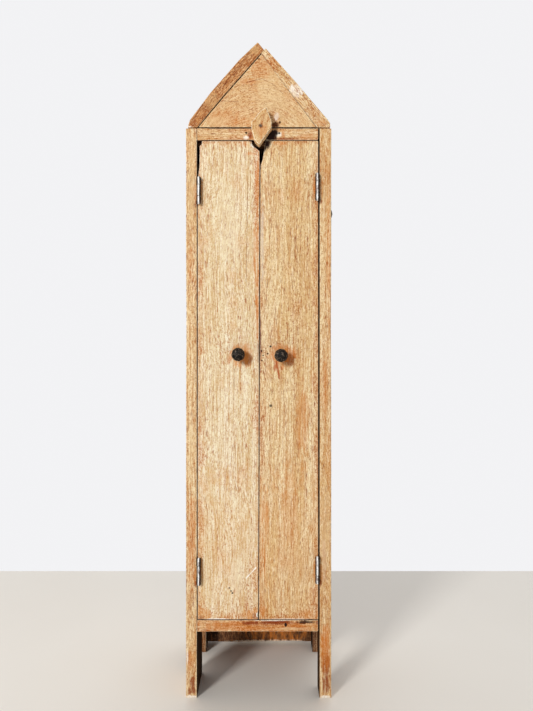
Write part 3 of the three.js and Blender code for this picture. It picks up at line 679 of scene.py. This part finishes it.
RIGHT_ROOF_WOOD = wood(
    "right_roof_wood", HONEY, grain=-43, seed=67, gritty=1.3,
    marks=[
        (32.5, 588.8, 2.4, 5, 0.75, WHITE), (38, 583.2, 2.2, 5, 0.5, WHITE),
        (41.2, 585.6, 2.2, 5, 0.8, WHITE), (36, 587, 8, 8, 0.45, WHITE),
        (37, 584, 7, 7, 0.6, "specks"), (12, 612, 8, 8, 0.45, "stain"), (60, 556, 8, 4, 0.35, "stain"),
        (14, 614, 12, 12, 0.9, "specks"), (50, 570, 22, 22, 0.5, "specks"),
    ],
    strokes=[
        ((3, 623), (12, 611), 0.5, 0.5, RUSSET),
    ])
GABLE_WOOD = wood(
    "gable_wood", HONEY, grain=90, seed=71, figure=0.3, porous=0.15, gritty=0.8, banded=0.4,
    arch=(1, 1.2), joint_grime_and_shade=True,
    marks=[
        # The near-black patch at x 16 is a stain and, in part, the turn button's painted shadow.
        (16, 553.5, 5, 4.4, 1, SOOT_AND_SHADE), (20.7, 556.2, 1.6, 1.8, 1, SOOT_AND_SHADE), (15, 562, 4, 9, 0.8, "specks"),
        (0, 585, 80, 60, 0.18, "stain"), (-20, 575, 40, 40, 0.5, "specks"),
        (10, 582, 20, 20, 0.4, "light"), (-36, 560, 22, 12, 0.35, "stain"),
        (-10, 596, 14, 4, 0.4, "stain"), (20, 575, 30, 30, 0.35, "specks"),
        (-14, 556, 10, 7, 0.4, ORANGE), (2, 610, 14, 14, 0.4, "stain"),
        (0, 612, 12, 14, 0.7, "specks"), (17, 561.8, 3.6, 4.6, 0.6, WHITE),
        (-40, 558, 12, 5, 0.3, "light"),
    ],
    strokes=[
        ((-11.5, 595), (3, 598.5), 0.55, 0.8, RUSSET), ((3, 598.5), (13.3, 593.4), 0.5, 0.55, RUSSET),
        ((13.3, 593.4), (23.5, 584), 0.5, 0.5, RUSSET),
        ((-47.6, 572.8), (-34.7, 577), 0.5, 0.55, RUSSET),
        ((-34.7, 577), (-19.3, 576.2), 0.5, 0.55, RUSSET), ((-24, 591), (-2, 593), 0.4, 0.4, RUSSET),
        ((-3, 618), (1, 617.6), 0.6, 0.9, SOOT_AND_SHADE), ((28, 590), (44, 570), 0.5, 0.5, SOOT_AND_SHADE),
    ])
BACK_GABLE_WOOD = wood("back_gable_wood", UMBER, grain=90, seed=73, sawn=0.9)
LEFT_DOOR_WOOD = wood(
    "left_door_wood", CREAM, seed=81, figure=1.15, gritty=0.8, joint_grime_and_shade=True,
    rim=face_rim("left_door", 0.65),
    marks=[
        *hinge_marks("left"), (-30, 130, 60, 110, 0.22, rgb(222, 166, 92)),
        (-2, 490, 5, 50, 0.7, "specks"), (-1.5, 505, 3.6, 34, 0.55, ORANGE),
        (-2, 430, 3.4, 60, 0.6, ORANGE), (-1, 375, 2.6, 34, 0.5, ORANGE), (-8, 526, 6, 2, 0.6, ORANGE),
        (-14, 535, 5, 3, 0.5, ORANGE), (-5.4, 535.2, 3.6, 3.4, 1, WHITE),
        # Painted shadow of the knob: the russet patch right of and below it.
        (KNOB["left"].x + 7, KNOB["left"].z - 3, 9, 8, 1, RUSSET),
        (KNOB["left"].x + 2, KNOB["left"].z, 16, 14, 0.75, rgb(214, 134, 62)),
        (KNOB["left"].x - 14, KNOB["left"].z + 8, 9, 26, 0.6, "specks"), (0, 335, 2, 14, 0.6, PLUM),
        (-30, 79, 34, 12, 0.6, "specks"), (-53, 82, 11, 13, 1, "specks"),
        (-54, 80, 11, 10, 0.6, "stain"), (-56, 77.5, 5, 3.4, 0.5, "pore"),
        (-7, 84, 11, 13, 1, "specks"), (-6, 80, 11, 9, 0.6, "stain"), (-3, 78.6, 4, 3.6, 0.6, "pore"),
        (-10, 112, 9, 30, 0.7, "specks"), (-1.4, 80.4, 1.3, 2.6, 1, WHITE),
        (-40, 76.4, 13, 1, 1, WHITE), (-20, 118, 10, 24, 0.3, "light"),
        (-30, 460, 14, 60, 0.25, "light"), (-28.2, 106.4, 1.1, 1.1, 1, SOOT_AND_SHADE),
        (-26.7, 103.5, 1, 1, 1, SOOT_AND_SHADE), (-25.3, 101.5, 1, 1, 1, SOOT_AND_SHADE),
    ],
    strokes=[
        ((-10.5, 505), (-12, 400), 0.45, 0.55, "pore"), ((-23.6, 318), (-24, 288), 0.45, 0.6, "pore"),
        ((-12, 116), (-2.5, 126), 0.9, 0.9, WHITE),
    ])
RIGHT_DOOR_WOOD = wood(
    "right_door_wood", STRAW, seed=97, figure=1.2, gritty=0.85, joint_grime_and_shade=True,
    rim=face_rim("right_door", 0.65),
    marks=[
        # The two near-black patches at the door's top left are the turn button's painted shadow.
        *hinge_marks("right"), (7, 536.5, 8, 7, 1, SOOT_AND_SHADE), (4, 531, 5, 7, 1, SOOT_AND_SHADE),
        (20, 536, 12, 2.5, 0.6, ORANGE), (30, 76.3, 30, 0.9, 0.8, WHITE),
        (3.5, 440, 2, 50, 0.55, rgb(226, 218, 200)),
        # Painted shadow of the knob: the russet patch right of and below it.
        (KNOB["right"].x + 7, KNOB["right"].z - 3, 9, 8, 1, RUSSET),
        (KNOB["right"].x + 2, KNOB["right"].z, 16, 14, 0.8, rgb(206, 118, 46)),
        (45, 400, 6, 70, 0.3, "dark"), (41, 300, 6, 80, 0.3, "dark"), (11.8, 282.4, 2, 1.4, 0.8, SOOT_AND_SHADE),
        (11.5, 339.8, 1.3, 1.3, 1, SOOT_AND_SHADE), (8.6, 332.8, 1.2, 1.2, 1, SOOT_AND_SHADE),
        (2.8, 335.2, 1.2, 1.4, 1, SOOT_AND_SHADE), (4.3, 331, 1, 1, 1, SOOT_AND_SHADE), (2.9, 326.4, 1.1, 1.1, 1, SOOT_AND_SHADE),
        (1.4, 345, 1.6, 34, 1, PLUM), (6, 160, 5, 60, 0.5, ORANGE), (5, 332, 7, 14, 0.8, "specks"),
        (36, 350, 9, 60, 0.55, "specks"), (24, 346, 9, 10, 0.6, "specks"),
        (42, 262, 7, 60, 0.3, ORANGE), (50, 82, 12, 12, 0.9, "specks"),
        (26, 80, 28, 12, 0.6, "specks"), (50, 80, 12, 8, 0.4, "stain"),
        (30, 180, 12, 60, 0.25, "stain"), (4, 84, 4, 8, 0.5, "stain"),
        (30, 130, 60, 120, 0.22, rgb(214, 146, 70)),
    ],
    strokes=[
        ((14.9, 325), (15.7, 316.3), 1.2, 0.75, rgb(176, 78, 22)),
        ((17.3, 325), (19.8, 308.6), 1.3, 0.85, rgb(170, 72, 20)),
        ((20.4, 323), (22.1, 317.6), 1.2, 0.75, rgb(176, 78, 22)),
    ])
BUTTON_WOOD = wood(
    "button_wood", HONEY, grain=16, seed=111, porous=0.8, gritty=1.2, wear_and_highlight=1.0,
    marks=[
        (1, BUTTON_FACE, 550, 20, 5, 30, 0.45, rgb(206, 160, 98)),
        (3, BUTTON_FACE, 545, 7, 5, 9, 0.5, "stain"), (7, BUTTON_FACE, 556, 5, 5, 8, 0.7, "specks"),
        (-3, BUTTON_FACE, 552, 4, 5, 6, 0.7, "specks"),
        (2, BUTTON_FACE, 549, 3.2, 5, 3.2, 0.7, RUSSET),
    ])
TACK_IRON = iron("tack_iron", 5)


# ---- Carcass ----

def waist(side):
    """The outer faces of the side boards are planed in a little at mid height."""
    def bow(y, z):
        dip = 0.35 * math.exp(-(((z - 350) / 60) ** 2)) + 0.2 * rough(0, z, 4, 60)
        return (OUTWARD[side] * (0.25 - max(0, dip)), 0)
    return bow


def flush_end(y, z):
    """The side boards keep sharper edges at the foot and beside the rails."""
    return 0.4 if z < 8 or any(low + 0.6 < z < high for low, high in RAILS) else 1


FRONT_FOOT_DEPTH = {"left": 42, "right": 19}
BACK_FOOT_START = 79
ARCH_HEIGHT = 60


def side_outline(side):
    low, high = BOARD[side]
    front_foot = low.y + FRONT_FOOT_DEPTH[side]
    back_foot = low.y + BACK_FOOT_START
    return [
        (low.y, 0, 0.7), (front_foot, 0, 1.2), (front_foot, ARCH_HEIGHT, 3),
        (back_foot, ARCH_HEIGHT, 3), (back_foot, 0, 1.6),
        (high.y, 0, 1.2), (high.y, high.z), (low.y, high.z, 0.8),
    ]


def rectangle(u0, v0, u1, v1):
    return [(u0, v0), (u1, v0), (u1, v1), (u0, v1)]


RAIL_GAP = 0.7


def build_carcass():
    for side, material, seed in (("left", LEFT_BOARD_WOOD, 2), ("right", RIGHT_BOARD_WOOD, 5)):
        low, high = BOARD[side]
        outer, inner = (low.x, high.x) if side == "left" else (high.x, low.x)
        mesh = board_mesh(side_outline(side), "yz", outer, inner, wear=0.55, wobble=0.12, seed=seed,
                          bow=waist(side), chips=[(FRONT, 470, 5, 0.4)], soften=flush_end)
        add_piece(f"{side}_side_worn", [mesh], "carcass", material,
                  [f"{side}_side_board"])
    for name, material, seed in (("top_rail", TOP_RAIL_WOOD, 6), ("bottom_rail", LOWER_RAIL_WOOD, 8)):
        low, high = cad(name)
        end = high.x - RAIL_GAP
        outline = [(low.x, low.z, 0.4), (end, low.z, 1.4), (end, high.z, 0.4), (low.x, high.z, 0.4)]
        mesh = board_mesh(outline, "xz", low.y, high.y, wear=0.4, wobble=0.25, seed=seed,
                          soften=lambda x, z: 0.3 if x < -50 else 1)
        add_piece(f"{name}_worn", [mesh], "carcass", material, [name])
    inner = (("floor_board", INNER_WOOD), ("ceiling_board", INNER_WOOD), ("hat_shelf", SHELF_WOOD))
    for name, material in inner:
        low, high = cad(name)
        outline = rectangle(low.x, low.y, high.x, high.y)
        mesh = board_mesh(outline, "xy", low.z, high.z, wear=0.5, wobble=0.1, seed=9, corner=0.5)
        add_piece(f"{name}_worn", [mesh], "carcass", material, [name])
    low, high = cad("back_panel")
    outline = [(low.x, low.z + 0.5), (-20, low.z), (30, low.z + 0.9), (high.x, low.z + 0.2),
               (high.x, high.z), (low.x, high.z)]
    mesh = board_mesh(outline, "xz", low.y, high.y, wear=0.6, wobble=0.3, seed=12, step=4)
    add_piece("back_panel_worn", [mesh], "carcass", BACK_WOOD, ["back_panel"])


# ---- Roof ----

APEX = (-0.8, 634)
LEFT_SLOPE = [(-19, 616.6, 30), (-46.2, 585.6, 30), (-66.6, 558.6, 2), (-67.9, 554.6, 1)]
LEFT_KNEE = (-37, 578.5, 30)
LAP = (5.3, 626.5)
RIDGE = (2.3, 623)
RIGHT_KNEE = (27.6, 589.3, 3)
RIGHT_SLOPE = [(69.2, 555.4, 1), (67.4, 558.3, 1.5), (37.6, 593.4, 30), (7, 627.6, 0.4)]
ROOF_LINE = EAVE + 0.55


def faint_joint(x, z):
    """The upper joint between the gable and the right roof board is nearly invisible."""
    return 0.25 if x > 3 and z > RIGHT_KNEE[1] + 2 else 1


def build_roof():
    left = [(*APEX, 0.5), *LEFT_SLOPE, (-68.5, ROOF_LINE, 0.4), (-59.2, ROOF_LINE, 0.2), LEFT_KNEE,
            (*LAP, 0.3)]
    right = [(LAP[0] + 0.1, LAP[1] - 0.2, 0.3), (RIDGE[0] + 0.15, RIDGE[1], 0.1), RIGHT_KNEE,
             (56.2, ROOF_LINE, 0.3), (69.2, ROOF_LINE, 0.6), *RIGHT_SLOPE]
    gable = [(-58.2, ROOF_LINE, 0.2), (55.8, ROOF_LINE, 0.2),
             (RIGHT_KNEE[0] - 0.1, RIGHT_KNEE[1] - 0.1, 3),
             (RIDGE[0] + 0.4, RIDGE[1] - 0.7, 0.2), (LEFT_KNEE[0] + 0.8, LEFT_KNEE[1] - 0.6, 30)]
    boards = (("left_roof_board", left, LEFT_ROOF_WOOD, "roof_wood", 0.45),
              ("right_roof_board", right, RIGHT_ROOF_WOOD, "roof_wood", 0.35),
              ("front_gable_board", gable, GABLE_WOOD, "gable_wood", 0.3),
              ("back_gable_board", gable, BACK_GABLE_WOOD, "back_wood", 0.4))
    for seed, (name, outline, material, slot, wear) in enumerate(boards, 14):
        low, high = cad(name)
        soften = faint_joint if "left" not in name else None
        mesh = board_mesh(outline, "xz", low.y, high.y, wear=wear, wobble=0.1, seed=seed,
                          fade=0.7, step=2.5, soften=soften)
        add_piece(f"{name}_worn", [mesh], "carcass", material, [name])


# ---- Doors ----

def door_outline(side):
    low, high = DOOR[side]
    if side == "left":
        return [
            (low.x - 0.35, low.z, 0.8), (-0.35, low.z, 1.2), (1, 519, 2), (0.85, 528.4, 0.6),
            (-1.2, 530.4, 0.6), (-5.2, 535.9, 3), (-6.3, high.z - 0.15, 0.8),
            (-54.8, high.z - 0.15, 0.8), (-55.2, 534.8, 0.3),
            (-57, 533.6, 0.5), (-57.2, 514, 2), (low.x - 0.35, 500, 2),
        ]
    return [
        (0.3, low.z, 0.6), (high.x, low.z, 0.6), (high.x, high.z, 0.6), (6.7, high.z, 0.8),
        (4.4, 524, 2), (3.1, 518, 1), (1.75, 515.5, 1),
    ]


CHIPS = {
    "left": [(-4.5, 535, 6, 2.4), (-1, 80, 4, 1.0), (-14, 76, 5, 0.5), (-55, 76, 4, 0.5)],
    "right": [(2, 514, 3, 0.9), (50, 76, 5, 0.5)],
}
SEAM_LEAN = 0.6


def lean_free_edge(bm, side):
    """Leans the free edge back, as on the CAD doors, so that they swing clear."""
    thickness = DOOR[side][1].y - DOOR[side][0].y
    for vert in bm.verts:
        x, y = vert.co.x / MM, vert.co.y / MM
        if (side == "left") == (x < 3) and abs(x - 1.5) < 7.5:
            vert.co.x += OUTWARD[side] * SEAM_LEAN * (y - FRONT) / thickness * MM


def build_doors():
    for side, material, seed in (("left", LEFT_DOOR_WOOD, 21), ("right", RIGHT_DOOR_WOOD, 25)):
        low, high = DOOR[side]
        mesh = board_mesh(door_outline(side), "xz", low.y, high.y, wear=0.32, wobble=0.1, seed=seed,
                          chips=CHIPS[side])
        lean_free_edge(mesh, side)
        add_piece(f"{side}_door_worn", [mesh], f"{side}_door", material, [f"{side}_door"])


KNOB_REACH = 13
KNOB_RADIUS = 6.5
KNOB_RIM = 8.6
KNOB_NECK = [(0, 0.1), (2, 0.1), (4.3, 0.1), (4.2, 0.8), (3.7, 1.8), (3.3, 2.8), (3.2, 4), (3.2, 5),
             (3.7, 5.8), (4.7, 6.3), (5.7, 6.9), (6.3, 7.6), (6.5, 8.4)]


def hammered(point):
    """Flat hammer marks with ridges between them on the head of a knob."""
    distances, _ = noise.voronoi(point * 0.3 + Vector((3.3, 7.1, 1.9)))
    ridge = 1 - min(1, 2.2 * (distances[1] - distances[0]))
    outward = Vector((point.x, point.y, point.z - 6)).normalized()
    share = min(1, max(0, (point.z - 5) / 2))
    return point - outward * share * 0.6 * (1 - ridge)


def build_knobs():
    head = []
    for k in range(1, 11):
        turn = math.pi / 2 * k / 10
        radius = KNOB_RADIUS * math.cos(turn) ** 0.7 if k < 10 else 0
        head.append((radius, KNOB_RIM + (KNOB_REACH - KNOB_RIM) * math.sin(turn)))
    for side in SIDES:
        at = KNOB[side]
        profile = [*KNOB_NECK, *head]
        mesh = lathe_mesh(profile, (at.x, FRONT, at.z), (0, -1, 0), 64, hammered)
        add_piece(f"{side}_knob_forged", [mesh], f"{side}_door", iron(f"{side}_knob_iron", at.x),
                  [f"{side}_knob"])


# ---- Hinges ----

# Distances outward from the barrel's axis for the leaves; the barrel's radii; depths from it.
FRAME_LEAF = (1.65, 2.5)
DOOR_LEAF = (0.7, 1.55)
BARREL_RADIUS = 2
BARREL_BORE = 1
LEAF_START = 2.3
LEAF_WIDTH = 6.6
END_KNUCKLE = 7
KNUCKLE_GAP = 0.35


def knuckle_mesh(at, z0, z1):
    """One piece of the barrel, with rounded and slightly peened ends."""
    tall = z1 - z0
    ends = [(0.6, 0), (0.22, 0.12), (0, 0.6)]
    profile = [(BARREL_BORE, 0), *[(BARREL_RADIUS - a, b) for a, b in ends]]
    profile += [(BARREL_RADIUS - a, tall - b) for a, b in reversed(ends)]
    return lathe_mesh([*profile, (BARREL_BORE, tall)], (at.x, at.y, z0), (0, 0, 1), 32)


def leaf_plate(at, out, leaf, y0, y1, z0, z1):
    x0, x1 = sorted(at.x + out * reach for reach in leaf)
    outline = rectangle(at.y + y0, z0, at.y + y1, z1)
    return board_mesh(outline, "yz", x0, x1, wear=0.1, wobble=0.02, seed=2, corner=0.3, fade=0.1,
                      step=1.5)


def as_object(bm):
    mesh = bpy.data.meshes.new("scrap")
    bm.to_mesh(mesh)
    bm.free()
    scrap = bpy.data.objects.new("scrap", mesh)
    bpy.context.scene.collection.objects.link(scrap)
    return scrap


def drilled(plate, holes):
    """The plate with the hole solids cut out of it."""
    block = as_object(plate)
    cutters = [as_object(hole) for hole in holes]
    for cutter in cutters:
        cut = block.modifiers.new("cut", "BOOLEAN")
        cut.operation = "DIFFERENCE"
        cut.solver = "EXACT"
        cut.object = cutter
    evaluated = block.evaluated_get(bpy.context.evaluated_depsgraph_get())
    result = bmesh.new()
    result.from_mesh(evaluated.to_mesh())
    evaluated.to_mesh_clear()
    for scrap in (block, *cutters):
        bpy.data.objects.remove(scrap)
    return result


HOLE = [(0, -0.4), (1.42, -0.4), (1.42, 0.02), (0.68, 0.75), (0.68, 1.6), (0, 1.6)]


def build_hinges():
    for (side, level), at in HINGE.items():
        out = OUTWARD[side]
        low, high = cad(f"{side}_{level}_hinge_frame_leaf")
        trim = END_KNUCKLE + KNUCKLE_GAP
        material = steel(f"{side}_{level}_hinge_steel", at.x, at.z * 0.1)
        ends = [(low.z, low.z + END_KNUCKLE), (high.z - END_KNUCKLE, high.z)]
        middle = [(low.z + trim, high.z - trim)]
        for part, leaf, spans in (("frame", FRAME_LEAF, ends), ("door", DOOR_LEAF, middle)):
            plate = leaf_plate(at, out, leaf, LEAF_START, LEAF_START + LEAF_WIDTH, low.z, high.z)
            face, away = (leaf[0], out) if part == "frame" else (leaf[1], -out)
            holes = []
            for place in ("upper", "lower"):
                screw = centre(f"{side}_{level}_hinge_{part}_screw_{place}")
                holes.append(lathe_mesh(HOLE, (at.x + out * face, screw.y, screw.z), (away, 0, 0), 24))
            meshes = [drilled(plate, holes)]
            for z0, z1 in spans:
                start = 0.2 if part == "frame" else 1
                meshes.append(knuckle_mesh(at, z0, z1))
                meshes.append(leaf_plate(at, out, leaf, start, LEAF_START + 0.5, z0, z1))
            node = f"{side}_{level}_hinge_{part}_leaf"
            body = "carcass" if part == "frame" else f"{side}_door"
            add_piece(f"{node}_rusty", meshes, body, material, [node])
        for node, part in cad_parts.items():
            if node.startswith(f"{side}_{level}_hinge") and ("screw" in node or "pin" in node):
                cover(part, material)


def cover(cad_object, material):
    cad_object.data.materials.clear()
    cad_object.data.materials.append(material)


# ---- Turn button, nails, tack and hanging rail ----

# The button's outline from its lower tip round, from its pivot: u, v, and how round the corner is.
BUTTON_CORNERS = [
    (-1.3, -18.2, 0.5), (10.9, -1.5, 0.8), (10.8, 2.3, 6), (10.2, 6.1, 6), (8.1, 11.6, 20),
    (5.6, 17.8, 0.5), (2.2, 16.2, 6), (-2.1, 12.4, 12), (-6.3, 6.5, 1), (-8.8, 4.4, 1),
    (-8.6, -2.3, 8), (-5.9, -13.3, 8),
]
BUTTON_BORE = 1.2


def build_button():
    low, high = cad("turn_button")
    pivot = cad("turn_button_nail")
    x, z = (pivot[0].x + pivot[1].x) / 2, (pivot[0].z + pivot[1].z) / 2
    outline = [(x + u, z + v, r) for u, v, r in BUTTON_CORNERS]
    board = board_mesh(outline, "xz", low.y, high.y, wear=0.9, wobble=0.1, seed=33, fade=0.5, step=1.2)
    through = high.y - low.y + 2
    profile = [(0, -1), (BUTTON_BORE, -1), (BUTTON_BORE, through), (0, through)]
    bore = lathe_mesh(profile, (x, low.y, z), (0, 1, 0))
    add_piece("turn_button_worn", [drilled(board, [bore])], "turn_button", BUTTON_WOOD,
              ["turn_button"])


def build_small_iron():
    nail_iron = rusty_iron("nail_iron", 5)
    for node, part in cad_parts.items():
        if "nail" in node or node.endswith("knob_screw"):
            cover(part, nail_iron)
    low, high = cad("side_tack")
    rise = high.x - BOARD["right"][1].x
    profile = [(0, -7.5), (0.9, -7), (0.9, 0.1), (4.2, 0.1), (4.25, 0.35), (3.9, 0.8), (3.2, 1.2),
               (2.2, 1.5), (1.1, rise - 0.05), (0, rise)]
    at = (BOARD["right"][1].x, (low.y + high.y) / 2, (low.z + high.z) / 2)
    add_piece("side_tack_round", [lathe_mesh(profile, at, (1, 0, 0), 40)], "carcass", TACK_IRON,
              ["side_tack"])


def build_hanging_rail():
    low, high = cad("hanging_rail")
    y, z, long = (low.y + high.y) / 2, (low.z + high.z) / 2, high.x - low.x
    shaft = [(3 - 0.05 * (k % 3), 0.4 + (long - 0.8) * k / 24) for k in range(25)]
    profile = [(0, 0), (2.6, 0), *shaft, (2.6, long), (0, long)]
    mesh = lathe_mesh(profile, (low.x, y, z), (1, 0, 0), 28)
    add_piece("hanging_rail_turned", [mesh], "carcass", SHELF_WOOD, ["hanging_rail"])
    ring = [(3.3, 0), (7.6, 0), (8, 0.5), (7.6, 3.4), (7, 5.6), (6.4, 6), (3.6, 6), (3.3, 5.6)]
    for side in SIDES:
        low, high = cad(f"{side}_rail_socket")
        x = low.x if side == "left" else high.x
        mesh = lathe_mesh(ring, (x, y, z), (-OUTWARD[side], 0, 0), 36)
        name = f"{side}_rail_socket"
        add_piece(f"{name}_turned", [mesh], "carcass", SHELF_WOOD, [name])


# ---- Floor, light and camera ----

# In metres; the size is half the floor's width.
FLOOR_BACK = 0.258
FLOOR_SIZE = 3


def build_floor():
    """A pale floor that ends 20 cm behind the wardrobe, like the edge of a table."""
    bm = bmesh.new()
    bmesh.ops.create_grid(bm, x_segments=8, y_segments=8, size=FLOOR_SIZE)
    bmesh.ops.translate(bm, verts=bm.verts, vec=(0, FLOOR_BACK - FLOOR_SIZE, 0))
    mesh = bpy.data.meshes.new("studio_floor")
    bm.to_mesh(mesh)
    bm.free()
    mesh.materials.append(paint("floor_paint", rgb(226, 220, 210), rgb(236, 232, 224)))
    floor = bpy.data.objects.new("studio_floor", mesh)
    bpy.context.scene.collection.objects.link(floor)


WORLD_DARK = 0.38
WORLD_PALE = 0.95


def build_world():
    """Pale behind the wardrobe, darker in front of it."""
    world = bpy.data.worlds.new("studio_world")
    world.use_nodes = True
    nodes, links = world.node_tree.nodes, world.node_tree.links
    direction = nodes.new("ShaderNodeTexCoord").outputs["Generated"]
    split = nodes.new("ShaderNodeSeparateXYZ")
    links.new(direction, split.inputs[0])
    ramp = nodes.new("ShaderNodeMapRange")
    ramp.interpolation_type = "SMOOTHSTEP"
    for socket, number in zip(ramp.inputs[1:5], (-0.5, 0.7, WORLD_DARK, WORLD_PALE)):
        socket.default_value = number
    links.new(split.outputs["Y"], ramp.inputs[0])
    background = nodes["Background"]
    background.inputs["Color"].default_value = rgb(248, 248, 250)
    links.new(ramp.outputs[0], background.inputs["Strength"])
    bpy.context.scene.world = world


def add_area_light(name, place, target, size, watts, color):
    light = bpy.data.lights.new(name, "AREA")
    light.shape = "RECTANGLE"
    light.size, light.size_y = size
    light.energy = watts
    light.color = color
    lamp = bpy.data.objects.new(name, light)
    lamp.location = Vector(place)
    lamp.rotation_euler = (Vector(target) - Vector(place)).to_track_quat("-Z", "Y").to_euler()
    bpy.context.scene.collection.objects.link(lamp)


def build_light():
    middle = (0, 0, 0.33)
    add_area_light("window", (-1.4, -2.0, 1.22), middle, (0.5, 0.6), 44, (1.0, 0.995, 0.985))
    add_area_light("sky", (0.4, 1.2, 2.6), (0, 0, 0), (3, 3), 12, (0.97, 0.985, 1.0))


CAMERA_DISTANCE = 0.516
CAMERA_PLACE = (0.0076, FRONT * MM - CAMERA_DISTANCE, 0.331)
CAMERA_LENS = 27.04


def build_camera():
    data = bpy.data.cameras.new("camera")
    data.sensor_width = 36
    data.lens = CAMERA_LENS
    data.clip_start = 0.01
    camera = bpy.data.objects.new("camera", data)
    camera.location = CAMERA_PLACE
    camera.rotation_euler = (math.radians(90), 0, 0)
    bpy.context.scene.collection.objects.link(camera)
    bpy.context.scene.camera = camera


build_carcass()
build_roof()
build_doors()
build_knobs()
build_hinges()
build_button()
build_small_iron()
build_hanging_rail()
build_floor()
build_world()
build_light()
build_camera()
bpy.context.scene.view_settings.view_transform = "Standard"
